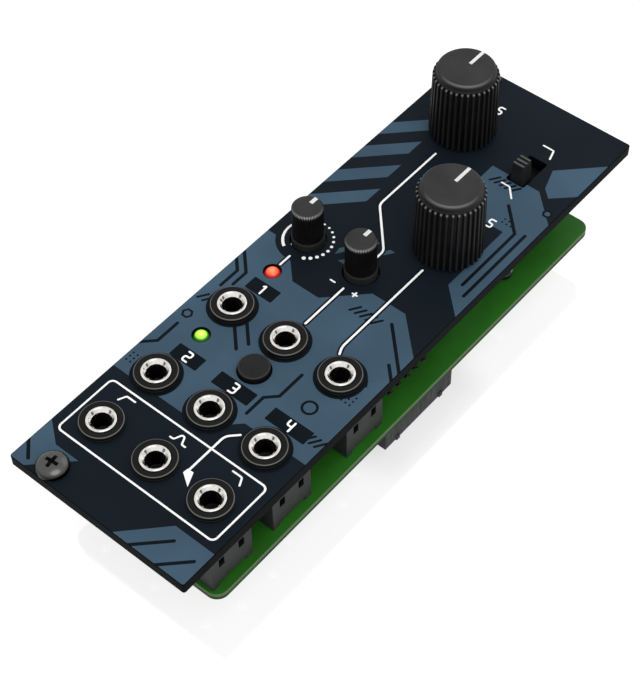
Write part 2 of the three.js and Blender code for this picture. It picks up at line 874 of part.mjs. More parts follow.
// Electrolytic capacitor with the rolled groove near its foot
function capacitor() {
  const grooveTop = boardTop + canGrooveHeight + 2 * canGrooveDepth;
  return turned([
    [0, boardTop],
    [canRadius, boardTop],
    [canRadius, boardTop + canGrooveHeight],
    [canRadius - canGrooveDepth, boardTop + canGrooveHeight + canGrooveDepth],
    [canRadius, grooveTop],
    [canRadius, boardTop + canHeight - canGrooveDepth],
    [canRadius - canGrooveDepth, boardTop + canHeight],
    [0, boardTop + canHeight],
  ], jackSides);
}

// Integrated circuit under the board, with bent pins along both sides
function chip(pinsPerSide) {
  const length = (pinsPerSide - 1) * chipPinPitch + 2 * chipEndMargin;
  const top = boardBottom - chipStandoff;
  const body = block(chipWidth, length, chipHeight, 0, 0, top - chipHeight);
  return join(body, ...chipPins(pinsPerSide));
}

function chipPins(pinsPerSide) {
  const middle = (pinsPerSide - 1) / 2;
  const kneeLevel = boardBottom - chipStandoff - chipHeight / 2;
  const reach = chipWidth / 2 + chipPinReach;
  const outline = new THREE.Shape([
    new THREE.Vector2(-reach, boardBottom),
    new THREE.Vector2(-reach, boardBottom - chipPinThickness),
    new THREE.Vector2(-chipWidth / 2 - chipPinReach / 2, kneeLevel),
    new THREE.Vector2(chipWidth / 2 + chipPinReach / 2, kneeLevel),
    new THREE.Vector2(reach, boardBottom - chipPinThickness),
    new THREE.Vector2(reach, boardBottom),
    new THREE.Vector2(reach - chipPinReach / 2, boardBottom),
    new THREE.Vector2(chipWidth / 2, kneeLevel + chipPinThickness),
    new THREE.Vector2(-chipWidth / 2, kneeLevel + chipPinThickness),
    new THREE.Vector2(-reach + chipPinReach / 2, boardBottom),
  ]);
  return Array.from({ length: pinsPerSide }, (_, i) => {
    const y = (i - middle) * chipPinPitch;
    return prism(outline, -chipPinWidth / 2, chipPinWidth / 2).rotateX(Math.PI / 2).translate(0, y, 0);
  });
}

// Places on the panel
function jackPlaces() {
  const rows = [
    { row: 'upper', share: upperJackRowShare, lowerReach: housingShortSide, upperReach: housingLongSide },
    { row: 'middle', share: middleJackRowShare, lowerReach: housingShortSide, upperReach: housingLongSide },
    { row: 'lower', share: lowerJackRowShare, lowerReach: housingLongSide, upperReach: housingShortSide },
  ];
  const columns = [
    { column: 'left', x: columnAt(-jackColumnShare) },
    { column: 'middle', x: 0 },
    { column: 'right', x: columnAt(jackColumnShare) },
  ];
  return rows.flatMap(({ row, share, ...reaches }) => columns.map(
    ({ column, x }) => ({ name: `${row}_${column}`, x, y: rowAt(share), ...reaches }),
  ));
}

function largeKnobPlaces() {
  return [
    { number: 1, x: columnAt(upperLargeKnobColumnShare), y: rowAt(upperLargeKnobRowShare) },
    { number: 2, x: rightControlX, y: rowAt(lowerLargeKnobRowShare) },
  ];
}

function smallKnobPlaces() {
  return [
    { number: 1, x: columnAt(-jackColumnShare), y: rowAt(smallKnobRowShare) },
    { number: 2, x: 0, y: rowAt(smallKnobRowShare) },
  ];
}

function lightPlaces() {
  return [
    { color: 'red', x: columnAt(-jackColumnShare), y: rowAt(upperLightRowShare) },
    { color: 'green', x: columnAt(-jackColumnShare), y: rowAt(lowerLightRowShare) },
  ];
}

function capacitorPlaces() {
  const x = boardWidth / 2 - canEdgeInset;
  const y = switchY - switchFrameLength / 2 - switchTabReach - canSwitchGap;
  return [
    { number: 1, x, y },
    { number: 2, x: x - canPitch, y },
  ];
}

function chipPlaces() {
  return [
    { name: 'lower', y: rowAt(lowerChipRowShare), pinsPerSide: shortChipPins },
    { name: 'middle', y: rowAt(middleChipRowShare), pinsPerSide: longChipPins },
    { name: 'upper', y: rowAt(upperChipRowShare), pinsPerSide: longChipPins },
  ];
}

function screwPlaces() {
  const x = screwEdgeInset - panelWidth / 2;
  return [
    { name: 'lower', x, y: 0 },
    { name: 'upper', x, y: railLineSpacing },
  ];
}

// Assembly
const filterModule = new THREE.Group();

function addPiece(parent, name, geometry, material) {
  geometry.computeVertexNormals();
  const mesh = new THREE.Mesh(geometry, material);
  mesh.name = name;
  parent.add(mesh);
}

function addGroup(x, y) {
  const group = new THREE.Group();
  group.position.set(x, y, 0);
  filterModule.add(group);
  return group;
}

function addJacks() {
  for (const place of jackPlaces()) {
    const jack = addGroup(place.x, place.y);
    const housing = jackHousing(place.lowerReach, place.upperReach);
    addPiece(jack, `jack_${place.name}_housing`, housing, finishes.housing);
    addPiece(jack, `jack_${place.name}_bushing`, jackBushing(), finishes.bushing);
    addPiece(jack, `jack_${place.name}_nut`, jackNut(), finishes.nut);
  }
}

function addRotaryControls() {
  for (const { number, x, y } of largeKnobPlaces()) {
    const control = addGroup(x, y);
    addPiece(control, `large_pot_${number}_body`, largePotBody(), finishes.metal);
    addPiece(control, `large_pot_${number}_shaft`, largeShaft(), finishes.metal);
    addPiece(control, `large_pot_${number}_washer`, largeWasher(), finishes.metal);
    addPiece(control, `large_pot_${number}_nut`, largeNut(), finishes.metal);
    addPiece(control, `large_knob_${number}`, largeKnob(), finishes.knob);
  }
  for (const { number, x, y } of smallKnobPlaces()) {
    const control = addGroup(x, y);
    addPiece(control, `small_pot_${number}_body`, smallPotBody(), finishes.darkPlastic);
    addPiece(control, `small_knob_${number}`, smallKnob(), finishes.knob);
  }
}

function addSwitchAndButton() {
  const slide = addGroup(rightControlX, switchY);
  addPiece(slide, 'slide_switch_base', switchBase(), finishes.darkPlastic);
  addPiece(slide, 'slide_switch_frame', switchFrame(), finishes.metal);
  addPiece(slide, 'slide_switch_lever', switchLever(), finishes.darkPlastic);
  const button = addGroup(0, buttonY);
  addPiece(button, 'button_switch_body', buttonBody(), finishes.darkPlastic);
  addPiece(button, 'button_cap', buttonCap(), finishes.knob);
}

function addLights() {
  for (const { color, x, y } of lightPlaces()) {
    const light = addGroup(x, y);
    addPiece(light, `${color}_led`, indicatorLight(), finishes[`${color}Light`]);
    addPiece(light, `${color}_led_spacer`, lightSpacer(), finishes.darkPlastic);
  }
}

function addBoardParts() {
  addPiece(addGroup(headerX, headerY), 'power_header', powerHeader(), finishes.darkPlastic);
  for (const { number, x, y } of capacitorPlaces()) {
    addPiece(addGroup(x, y), `capacitor_${number}`, capacitor(), finishes.bluePlastic);
  }
  for (const { name, y, pinsPerSide } of chipPlaces()) {
    const place = addGroup(columnAt(chipColumnShare), y);
    addPiece(place, `${name}_chip`, chip(pinsPerSide), finishes.chip);
  }
}

addPiece(filterModule, 'front_panel', frontPanel(), finishes.panel);
addPiece(filterModule, 'main_board', mainBoard(), finishes.board);
addJacks();
addRotaryControls();
addSwitchAndButton();
addLights();
addBoardParts();
for (const { name, x, y } of screwPlaces()) {
  addPiece(addGroup(x, y), `rack_screw_${name}`, rackScrew(), finishes.screw);
}

export default filterModule;
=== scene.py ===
import json
import math
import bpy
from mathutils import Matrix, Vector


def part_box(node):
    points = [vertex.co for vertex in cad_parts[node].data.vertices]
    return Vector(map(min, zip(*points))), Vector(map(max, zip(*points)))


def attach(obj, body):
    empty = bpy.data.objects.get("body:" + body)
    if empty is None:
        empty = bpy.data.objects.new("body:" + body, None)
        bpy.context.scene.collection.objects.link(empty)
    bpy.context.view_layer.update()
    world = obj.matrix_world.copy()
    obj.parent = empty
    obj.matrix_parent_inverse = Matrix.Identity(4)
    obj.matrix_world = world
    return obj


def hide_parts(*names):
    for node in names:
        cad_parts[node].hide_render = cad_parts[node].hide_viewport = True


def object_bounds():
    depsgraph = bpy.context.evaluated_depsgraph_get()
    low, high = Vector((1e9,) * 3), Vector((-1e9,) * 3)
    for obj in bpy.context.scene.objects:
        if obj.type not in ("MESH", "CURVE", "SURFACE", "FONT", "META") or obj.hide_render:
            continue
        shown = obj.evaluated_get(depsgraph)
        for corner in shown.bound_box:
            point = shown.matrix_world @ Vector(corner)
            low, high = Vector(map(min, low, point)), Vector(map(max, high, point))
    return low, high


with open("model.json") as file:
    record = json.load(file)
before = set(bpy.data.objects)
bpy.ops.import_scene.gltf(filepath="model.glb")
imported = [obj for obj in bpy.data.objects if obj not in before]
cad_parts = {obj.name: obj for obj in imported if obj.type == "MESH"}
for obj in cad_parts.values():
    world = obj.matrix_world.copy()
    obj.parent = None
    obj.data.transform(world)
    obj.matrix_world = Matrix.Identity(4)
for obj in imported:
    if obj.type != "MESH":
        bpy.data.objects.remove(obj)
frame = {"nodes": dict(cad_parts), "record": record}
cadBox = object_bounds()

from types import SimpleNamespace

import bmesh
import bpy
import numpy as np
from mathutils import Quaternion, Vector
from mathutils.geometry import delaunay_2d_cdt

# Shapes are worked out in millimetres, in the frame's own axes, and become metres in the mesh
mm = 0.001
record = frame["record"]
bodyOf = {node: body for body, nodes in record["behaviour"]["bodies"].items() for node in nodes}


def span(node):
    # Lowest and highest corner of a node's box
    low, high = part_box(node)
    return np.array(low) / mm, np.array(high) / mm


def middle(node):
    # Half way between the two corners
    low, high = span(node)
    return (low + high) / 2


def footHeadRadius(node):
    # Foot, head and outer radius of a node that stands upright
    low, high = span(node)
    return low[2], high[2], (high[0] - low[0]) / 2


def standIn(piece, node):
    # The piece is shown in place of the node, and moves with it
    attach(piece, bodyOf[node])
    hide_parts(node)


def addTo(piece, node):
    # The piece is shown beside the node, and moves with it
    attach(piece, bodyOf[node])


panelFace = span("front_panel")[1][2]
boardLow, boardHigh = span("main_board")
boardBottom, boardTop = boardLow[2], boardHigh[2]


# Material helpers

def tint(code):
    # sRGB hexadecimal to linear
    channels = np.array([int(code[i:i + 2], 16) for i in (0, 2, 4)]) / 255
    linear = np.where(channels > 0.04045, ((channels + 0.055) / 1.055) ** 2.4, channels / 12.92)
    return (*linear.tolist(), 1.0)


def setInputs(tree, node, inputs):
    # A socket is linked, and anything else is written into the input
    for key, value in inputs.items():
        if isinstance(value, bpy.types.NodeSocket):
            tree.links.new(value, node.inputs[key])
        else:
            node.inputs[key].default_value = value


def addNode(tree, kind, inputs=None, **settings):
    made = tree.nodes.new(kind)
    for key, value in settings.items():
        setattr(made, key, value)
    setInputs(tree, made, inputs or {})
    return made


def maths(tree, operation, *values):
    return addNode(tree, "ShaderNodeMath", dict(enumerate(values)), operation=operation).outputs[0]


def vectorMaths(tree, operation, *values, result="Vector"):
    made = addNode(tree, "ShaderNodeVectorMath", dict(enumerate(values)), operation=operation)
    return made.outputs[result]


def mapped(tree, value, before=(0, 1), after=(0, 1), smooth=False):
    # A value carried from one range to another, and kept within it
    return addNode(tree, "ShaderNodeMapRange", {
        "Value": value, "From Min": before[0], "From Max": before[1], "To Min": after[0], "To Max": after[1],
    }, interpolation_type="SMOOTHSTEP" if smooth else "LINEAR").outputs["Result"]


def ramp(tree, level, stops):
    made = addNode(tree, "ShaderNodeValToRGB", {"Fac": level})
    elements = made.color_ramp.elements
    while len(elements) < len(stops):
        elements.new(0.5)
    for element, (position, colour) in zip(elements, stops):
        element.position = position
        element.color = colour
    return made.outputs["Color"]


def noise(tree, place, size, detail=3.0):
    # A noise whose patches are about this many millimetres across
    return addNode(tree, "ShaderNodeTexNoise", {
        "Vector": place, "Scale": 1 / (size * mm), "Detail": detail,
    }).outputs["Fac"]


def attribute(tree, name):
    return addNode(tree, "ShaderNodeAttribute", attribute_name=name).outputs["Fac"]


def newMaterial(name):
    made = bpy.data.materials.new(name)
    made.use_nodes = True
    return made, made.node_tree, made.node_tree.nodes["Principled BSDF"]


plainFinish = {
    "relief": 0.004, "metallic": 0.0, "coat": 0.0, "specular": 0.5, "glow": 0.0, "stretch": (1, 1, 1),
    "wrapped": False, "worn": None, "heights": None, "litFrom": None, "blend": (0.35, 0.65),
    "grainSpan": (0.3, 0.7),
}
# The rims of the knobs get a painted highlight on faces turned this way
frontLight = (0.40, -0.58, 0.71)  # The way to the light that the rims of the knobs show


def finish(name, dark, light, smooth, rough, patch, grain, other):
    # The painted tint is a third colour for a painted highlight or painted shade, where the piece's own
    # paintedLight attribute is high, or above the given heights. With litFrom that painted highlight only
    # shows on faces turned towards frontLight, from that share of it on.
    look = SimpleNamespace(**{**plainFinish, **other})
    made, tree, shader = newMaterial(name)
    place = addNode(tree, "ShaderNodeTexCoord").outputs["UV" if look.wrapped else "Object"]
    drawn = addNode(tree, "ShaderNodeMapping", {"Vector": place, "Scale": look.stretch}).outputs["Vector"]
    fine = noise(tree, drawn, grain, 2.0)
    colour = ramp(tree, noise(tree, place, patch), list(zip(look.blend, (tint(dark), tint(light)))))
    if look.worn:
        if look.heights:
            height = addNode(tree, "ShaderNodeSeparateXYZ", {"Vector": place}).outputs["Z"]
            paintedLight = mapped(tree, height, [level * mm for level in look.heights], smooth=True)
        else:
            paintedLight = attribute(tree, "paintedLight")
        if look.litFrom is not None:
            normal = addNode(tree, "ShaderNodeNewGeometry").outputs["Normal"]
            facing = vectorMaths(tree, "DOT_PRODUCT", normal, frontLight, result="Value")
            paintedLight = mapped(tree, facing, (look.litFrom, 1), (0, paintedLight))
        colour = addNode(tree, "ShaderNodeMixRGB", {
            "Fac": paintedLight, "Color1": colour, "Color2": tint(look.worn),
        }).outputs["Color"]
    bump = addNode(tree, "ShaderNodeBump", {"Height": fine, "Distance": look.relief * mm})
    setInputs(tree, shader, {
        "Base Color": colour, "Emission Color": colour, "Emission Strength": look.glow,
        "Roughness": mapped(tree, fine, look.grainSpan, (smooth, rough)), "Normal": bump.outputs["Normal"],
        "Metallic": look.metallic, "Coat Weight": look.coat, "Specular IOR Level": look.specular,
    })
    return made


# Each finish: two tints, roughness from and to, patch and grain in millimetres, and what else differs
ink = {"relief": 0.003, "specular": 0.06}
greenMask = {"relief": 0.005, "specular": 0.19}
plastic = {"relief": 0.005, "specular": 0.2}
dull = {"specular": 0.2}
metal = {"metallic": 1.0}
rings = {"stretch": (0.03, 1, 1), "wrapped": True}
finishLook = {
    "navy_lacquer": ("10181f", "141d26", 0.5, 0.6, 26, 0.14, ink),
    "slate_ink": ("3f5567", "476073", 0.5, 0.6, 20, 0.14, ink),
    "dark_ink": ("070e14", "0b141b", 0.5, 0.6, 16, 0.14, ink),
    # The white print glows a little of itself, a painted brightness
    "white_ink": ("f7f8f9", "ffffff", 0.5, 0.6, 3, 0.12, {"relief": 0.003, "specular": 0.1, "glow": 0.14}),
    "panel_edge": ("080a0c", "0d1013", 0.5, 0.65, 5, 0.1, {"stretch": (1, 1, 6), "specular": 0.02}),
    "panel_rear": ("15181c", "1c2025", 0.45, 0.6, 22, 0.16, dull),
    "solder_mask": ("266219", "2c7020", 0.36, 0.48, 14, 0.3, greenMask),
    "trace_under_mask": ("2d7220", "358028", 0.36, 0.48, 9, 0.3, greenMask),
    # The board's side face is painted paler towards its top, a painted highlight
    "board_edge": ("243422", "2c3f29", 0.55, 0.75, 2, 0.08, {
        "stretch": (1, 1, 8), "specular": 0.15, "worn": "67835c",
        "heights": (boardBottom + 0.6, boardTop - 0.5)}),
    "silkscreen": ("cfd3cc", "e2e4de", 0.5, 0.65, 2, 0.1, {}),
    "solder": ("9c9e9d", "c4c6c6", 0.16, 0.36, 0.7, 0.12, {**metal, "relief": 0.01}),
    "jack_housing": ("2f3030", "3a3c3b", 0.5, 0.66, 5, 0.09, {"relief": 0.008, "specular": 0.2}),
    # Near-black for painted shade: the housing windows and the sheet under the switch slot
    "painted_shade_black": ("090909", "101010", 0.6, 0.7, 2, 0.1, {"specular": 0.1}),
    # The bushing's bore and notches take a darker tint, a painted shade
    "bushing_nickel": ("cfcdc8", "e8e6e2", 0.14, 0.26, 1.5, 0.06, {
        **metal, **rings, "relief": 0.003, "worn": "6a6864"}),
    # The nut's top outer edge carries a painted highlight
    "blackened_nut": ("0b0b0b", "111110", 0.36, 0.48, 2, 0.07, {**rings, "worn": "84827e", "specular": 0.13}),
    "dark_frame": ("1d1e1f", "2a2b2c", 0.4, 0.55, 4, 0.12, dull),
    "pot_case": ("8d8f8e", "a9aaa8", 0.3, 0.46, 4, 0.12, {**metal, "stretch": (0.05, 1, 1)}),
    "turned_steel": ("a5a5a3", "bebebb", 0.24, 0.38, 2, 0.1, {**metal, "stretch": (1, 1, 8)}),
    # The knobs' tops, with a painted highlight on the bevel faces turned to frontLight
    "knob_plastic": ("2d2d2e", "353536", 0.5, 0.62, 5, 0.08, {
        "relief": 0.006, "specular": 0.15, "worn": "7a7a7c", "litFrom": 0.74}),
    # Darker copies of the knobs' plastic, a painted shade on the sides; the ribs and the knurl also carry
    # painted highlights
    "ribbed_plastic": ("111112", "171718", 0.42, 0.55, 4, 0.08, {
        "relief": 0.005, "specular": 0.12, "worn": "7a7a7b"}),
    "knurled_plastic": ("0f0f10", "151516", 0.42, 0.55, 4, 0.08, {
        "relief": 0.005, "specular": 0.06, "worn": "f4f4f5", "litFrom": 0.5}),
    "collar_plastic": ("242425", "2b2b2c", 0.45, 0.58, 4, 0.08, {"specular": 0.12}),
    "pointer_white": ("e4e4e2", "f2f2f0", 0.4, 0.55, 2, 0.1, {}),
    "lever_plastic": ("1c1c1d", "252526", 0.4, 0.52, 2, 0.08, plastic),
    "lever_ridge_highlight": ("4a4a4b", "5a5a5b", 0.45, 0.6, 1.5, 0.08, plastic),
    "button_plastic": ("1d1d1e", "242324", 0.5, 0.6, 3, 0.07, {
        "relief": 0.006, "specular": 0.12, "worn": "3a3a3b"}),
    "black_plastic": ("131314", "1c1c1d", 0.45, 0.6, 4, 0.1, {"relief": 0.006, "specular": 0.2}),
    "header_plastic": ("252327", "3b383d", 0.5, 0.68, 1.2, 0.5, {
        "relief": 0.02, "stretch": (1, 1, 0.06), "specular": 0.2}),
    "gilded_pins": ("c39a45", "dcb762", 0.2, 0.34, 1, 0.1, {**metal, "stretch": (1, 1, 0.2)}),
    "shaded_pin_tips": ("161b15", "262c24", 0.35, 0.5, 0.6, 0.1, {"metallic": 0.3}),
    "tinned_legs": ("9b9d9d", "bcbebe", 0.24, 0.4, 0.8, 0.08, metal),
    "capacitor_sleeve": ("24292a", "2f3535", 0.3, 0.42, 3, 0.12, {"coat": 0.1}),
    "capacitor_stripe": ("b9bec4", "cdd1d5", 0.3, 0.42, 3, 0.12, {}),
    "shaded_capacitor_top": ("1a1d22", "23262b", 0.4, 0.5, 1.2, 0.08, dull),
    "chip_body": ("161617", "1e1e20", 0.5, 0.66, 2, 0.07, {"relief": 0.008, "specular": 0.25}),
    "resistor_body": ("151618", "1d1e20", 0.3, 0.45, 0.8, 0.08, {}),
    "ceramic_body": ("8c6f4c", "a5865e", 0.4, 0.55, 0.8, 0.08, {}),
    # The screw's metal is painted dark at the head's rim and lighter towards the dome's top, a painted
    # reflection
    "chrome_with_painted_light": ("151516", "202020", 0.18, 0.3, 1.8, 0.09, {
        **metal, "relief": 0.005, "worn": "565655", "heights": (panelFace + 0.6, panelFace + 1.3)}),
    "screw_recess_shade": ("0a0a0a", "141414", 0.5, 0.7, 1, 0.1, {"metallic": 0.4}),
    "lamp_legs": ("a8aaaa", "c6c8c8", 0.2, 0.34, 1, 0.1, metal),
}
finishes = {name: finish(name, *look) for name, look in finishLook.items()}

lensLook = {
    "stops": (0.2, 0.36, 0.85), "glow": 1.0, "roughness": 0.22,
    "tints": {"red": ("9c1a10", "ee4a2c", "ff7a50"), "green": ("1c5208", "84d022", "c4ee5a")},
}


def lightFinish(name, tints):
    # A lit lens: the colour runs from its rim to its core by the piece's own core attribute
    made, tree, shader = newMaterial(name)
    stops = zip(lensLook["stops"], [tint(code) for code in tints])
    colour = ramp(tree, attribute(tree, "core"), list(stops))
    setInputs(tree, shader, {
        "Base Color": colour, "Emission Color": colour, "Emission Strength": lensLook["glow"],
        "Roughness": lensLook["roughness"],
    })
    return made


for colour, tints in lensLook["tints"].items():
    finishes[f"{colour}_light"] = lightFinish(f"{colour}_light", tints)
print("finishes made")


# Shape helpers

def rounded(points, steps=4, closed=True):
    # Points of a flat line, each with a reach: its corner becomes a quadratic curve that starts and ends
    # that far from it
    points = np.asarray(points, float)
    corners, reach = points[:, :2], points[:, 2:]
    before = np.roll(corners, 1, axis=0) - corners
    after = np.roll(corners, -1, axis=0) - corners
    lengthBefore = np.linalg.norm(before, axis=1)[:, None]
    lengthAfter = np.linalg.norm(after, axis=1)[:, None]
    start = corners + before * np.minimum(reach / lengthBefore, 0.49)
    end = corners + after * np.minimum(reach / lengthAfter, 0.49)
    s = np.linspace(0, 1, steps + 1)[None, :, None]
    curves = (1 - s) ** 2 * start[:, None] + 2 * s * (1 - s) * corners[:, None] + s ** 2 * end[:, None]
    if closed:
        return curves.reshape(-1, 2)
    return np.concatenate([corners[:1], curves[1:-1].reshape(-1, 2), corners[-1:]])


def roundedRing(points, steps):
    # A closed cross-section that comes back to its first point
    loop = rounded(points, steps)
    return np.concatenate([loop, loop[:1]])


def onceRound(steps):
    # Evenly spaced angles, from nought to just before a full turn
    return np.arange(steps) * 2 * np.pi / steps


def circle(radius, centre=(0, 0), steps=48):
    # The cosine and sine of each angle, times the radius, about the centre
    angles = onceRound(steps)
    return np.stack([centre[0] + radius * np.cos(angles), centre[1] + radius * np.sin(angles)], axis=1)


def roundedRectangle(low, high, radius, steps=6):
    # Four quarter circles, counter-clockwise from the lower right corner
    turns = np.linspace(0, np.pi / 2, steps + 1)
    corners = [(high[0], low[1], -1, -1, 1), (high[0], high[1], 0, -1, -1),
               (low[0], high[1], 1, 1, -1), (low[0], low[1], 2, 1, 1)]
    return np.concatenate([np.stack([
        x + signX * radius + radius * np.cos(turns + quarter * np.pi / 2),
        y + signY * radius + radius * np.sin(turns + quarter * np.pi / 2),
    ], axis=1) for x, y, quarter, signX, signY in corners])


def boxRound(centre, half, radius, steps=6):
    # A rounded rectangle that reaches half its size to each side of its centre
    return roundedRectangle(np.subtract(centre, half), np.add(centre, half), radius, steps)


def strip(points, width, reach=0.0):
    # A line of this width with mitred corners and round ends
    line = np.asarray(points, float)
    if reach:
        line = rounded(lifted(line, reach), closed=False)
    along = np.diff(line, axis=0)
    along = along / np.linalg.norm(along, axis=1)[:, None]
    normals = np.stack([-along[:, 1], along[:, 0]], axis=1)
    sums = np.concatenate([2 * normals[:1], normals[:-1] + normals[1:], 2 * normals[-1:]])
    offset = sums / (sums ** 2).sum(axis=1)[:, None] * width
    turns = np.linspace(0, np.pi, 7)[1:-1, None]
    lastCap = line[-1] + width / 2 * (np.cos(turns) * normals[-1] + np.sin(turns) * along[-1])
    firstCap = line[0] - width / 2 * (np.cos(turns) * normals[0] + np.sin(turns) * along[0])
    return np.concatenate([line + offset, lastCap, (line - offset)[::-1], firstCap])


def signedArea(loop):
    # Half the sum of the corners' cross products: above nought for a counter-clockwise loop
    x, y = loop[:, 0], loop[:, 1]
    return 0.5 * np.sum(x * np.roll(y, -1) - np.roll(x, -1) * y)


def grown(loop, distance):
    # Every side of a counter-clockwise loop moves outwards by the distance
    along = np.roll(loop, -1, axis=0) - loop
    normals = np.stack([along[:, 1], -along[:, 0]], axis=1) / np.linalg.norm(along, axis=1)[:, None]
    sums = normals + np.roll(normals, 1, axis=0)
    return loop + 2 * distance * sums / (sums ** 2).sum(axis=1)[:, None]


def lifted(loop, height):
    # A flat loop at this height
    return np.column_stack([loop, np.full(len(loop), height)])


def carried(radius, height, angles, x=0.0, y=0.0):
    # Points at these radii, heights and angles round an upright axis
    return np.stack([x + radius * np.cos(angles), y + radius * np.sin(angles), height + 0 * angles], axis=-1)


def turned(profile, sides, x=0.0, y=0.0):
    # Radius and height along a profile, carried round Z
    profile = np.asarray(profile, float)
    return carried(profile[:, :1], profile[:, 1:], onceRound(sides), x, y)


def nearness(profile, radius, height, spread):
    # One at this radius and height, falling off round it like a bell
    return np.exp(-((profile[:, :1] - radius) ** 2 + (profile[:, 1:2] - height) ** 2) / spread)


def uprightBlock(centre, half, low, high, reach):
    # A rounded rectangle carried from the low to the high level, drawn in at both ends
    outline = boxRound(centre, half, reach, 2)
    quarter = np.linspace(0, np.pi / 2, 3)
    inset = reach * (1 - np.sin(quarter))
    rise = reach * (1 - np.cos(quarter))
    rows = [centre + (outline - centre) * (1 - step / np.array(half)) for step in (*inset, *inset[::-1])]
    levels = [low, *(low + rise), *(high - rise[::-1]), high]
    pole = np.broadcast_to(centre, outline.shape)
    return np.stack([lifted(row, z) for row, z in zip([pole, *rows, pole], levels)])


def placed(name, data):
    piece = bpy.data.objects.new(name, data)
    bpy.context.collection.objects.link(piece)
    return piece


def paintedMesh(name, points, faces, materials, indices):
    mesh = bpy.data.meshes.new(name)
    mesh.from_pydata(points * mm, [], faces)
    for material in materials:
        mesh.materials.append(finishes[material])
    mesh.polygons.foreach_set("material_index", np.asarray(indices, np.int32))
    return mesh


def shadeSmooth(mesh, sharp):
    mesh.shade_smooth()
    mesh.set_sharp_from_angle(angle=math.radians(sharp))


wrapWidth = 20  # Once round a grid is this wide in its own UV map
# Gaps in millimetres under which points are merged, angles in degrees, and the steps of a bevel
meshLook = {
    "sharp": 32, "mergeGap": 0.0005, "solidMergeGap": 0.002, "flatAngle": 0.5, "solidSharp": 50,
    "bevelFrom": 30, "bevelSteps": 2,
}


def fromGrids(name, grids, materials, paints=None, values=None, sharp=meshLook["sharp"]):
    # Closed grids of points, each rows by columns by 3 and joined round its columns, as one piece.
    # Paints gives each grid's material, for the whole, by rows or by cells. UV is the way round and along.
    # Doubles are merged, so that poles and seams close, and the faces are turned outwards.
    points, faces, wraps, indices = [], [], [], []
    offset = 0
    for number, grid in enumerate(grids):
        rows, columns = grid.shape[:2]
        here = np.arange(rows - 1)[:, None] * columns + np.arange(columns)
        beside = np.arange(rows - 1)[:, None] * columns + (np.arange(columns) + 1) % columns
        quads = np.stack([here, beside, beside + columns, here + columns], axis=-1)
        steps = np.linalg.norm(np.diff(grid[:, 0], axis=0), axis=1)
        along = np.concatenate([[0.0], np.cumsum(steps)]) * mm
        v, u = np.meshgrid(along, np.arange(columns + 1) / columns * wrapWidth * mm, indexing="ij")
        uv = np.stack([u, v], axis=-1)
        wraps.append(np.stack([uv[:-1, :-1], uv[:-1, 1:], uv[1:, 1:], uv[1:, :-1]], axis=2).ravel())
        paint = np.asarray(0 if paints is None else paints[number])
        if paint.ndim == 1:
            paint = paint[:, None]
        indices.append(np.broadcast_to(paint, (rows - 1, columns)).ravel())
        points.append(grid.reshape(-1, 3))
        faces.append(quads.reshape(-1, 4) + offset)
        offset += rows * columns
    points, faces, indices = [np.concatenate(parts) for parts in (points, faces, indices)]
    mesh = paintedMesh(name, points, faces, materials, indices)
    mesh.uv_layers.new(name="wrap").data.foreach_set("uv", np.concatenate(wraps))
    for key, numbers in (values or {}).items():
        flat = np.concatenate([np.ravel(part) for part in numbers])
        mesh.attributes.new(key, "FLOAT", "POINT").data.foreach_set("value", flat)
    work = bmesh.new()
    work.from_mesh(mesh)
    bmesh.ops.remove_doubles(work, verts=work.verts, dist=meshLook["mergeGap"] * mm)
    bmesh.ops.recalc_face_normals(work, faces=work.faces)
    work.to_mesh(mesh)
    work.free()
    shadeSmooth(mesh, sharp)
    return placed(name, mesh)


def soften(node, name, width, materials, paint=None):
    # Stands in for a CAD node: its flat faces joined, and its edges rounded by a bevel of this width.
    # Paint takes a face's corners in millimetres and gives its material.
    look = SimpleNamespace(**meshLook)
    mesh = frame["nodes"][node].data.copy()
    mesh.name = name
    mesh.materials.clear()
    if "custom_normal" in mesh.attributes:
        mesh.attributes.remove(mesh.attributes["custom_normal"])
    for material in materials:
        mesh.materials.append(finishes[material])
    work = bmesh.new()
    work.from_mesh(mesh)
    bmesh.ops.remove_doubles(work, verts=work.verts, dist=look.solidMergeGap * mm)
    flat = math.radians(look.flatAngle)
    bmesh.ops.dissolve_limit(work, angle_limit=flat, verts=work.verts, edges=work.edges)
    for face in work.faces:
        corners = np.array([corner.co for corner in face.verts]) / mm
        face.material_index = paint(corners) if paint else 0
    work.to_mesh(mesh)
    work.free()
    shadeSmooth(mesh, look.solidSharp)
    piece = placed(name, mesh)
    bevel = piece.modifiers.new("rounded edges", "BEVEL")
    bevel.width = width * mm
    bevel.segments = look.bevelSteps
    bevel.limit_method = "ANGLE"
    bevel.angle_limit = math.radians(look.bevelFrom)
    standIn(piece, node)


def inked(loops, material, side="front"):
    # Loops as plate takes them: each with its side and its material
    return [(loop, side, material) for loop in loops]


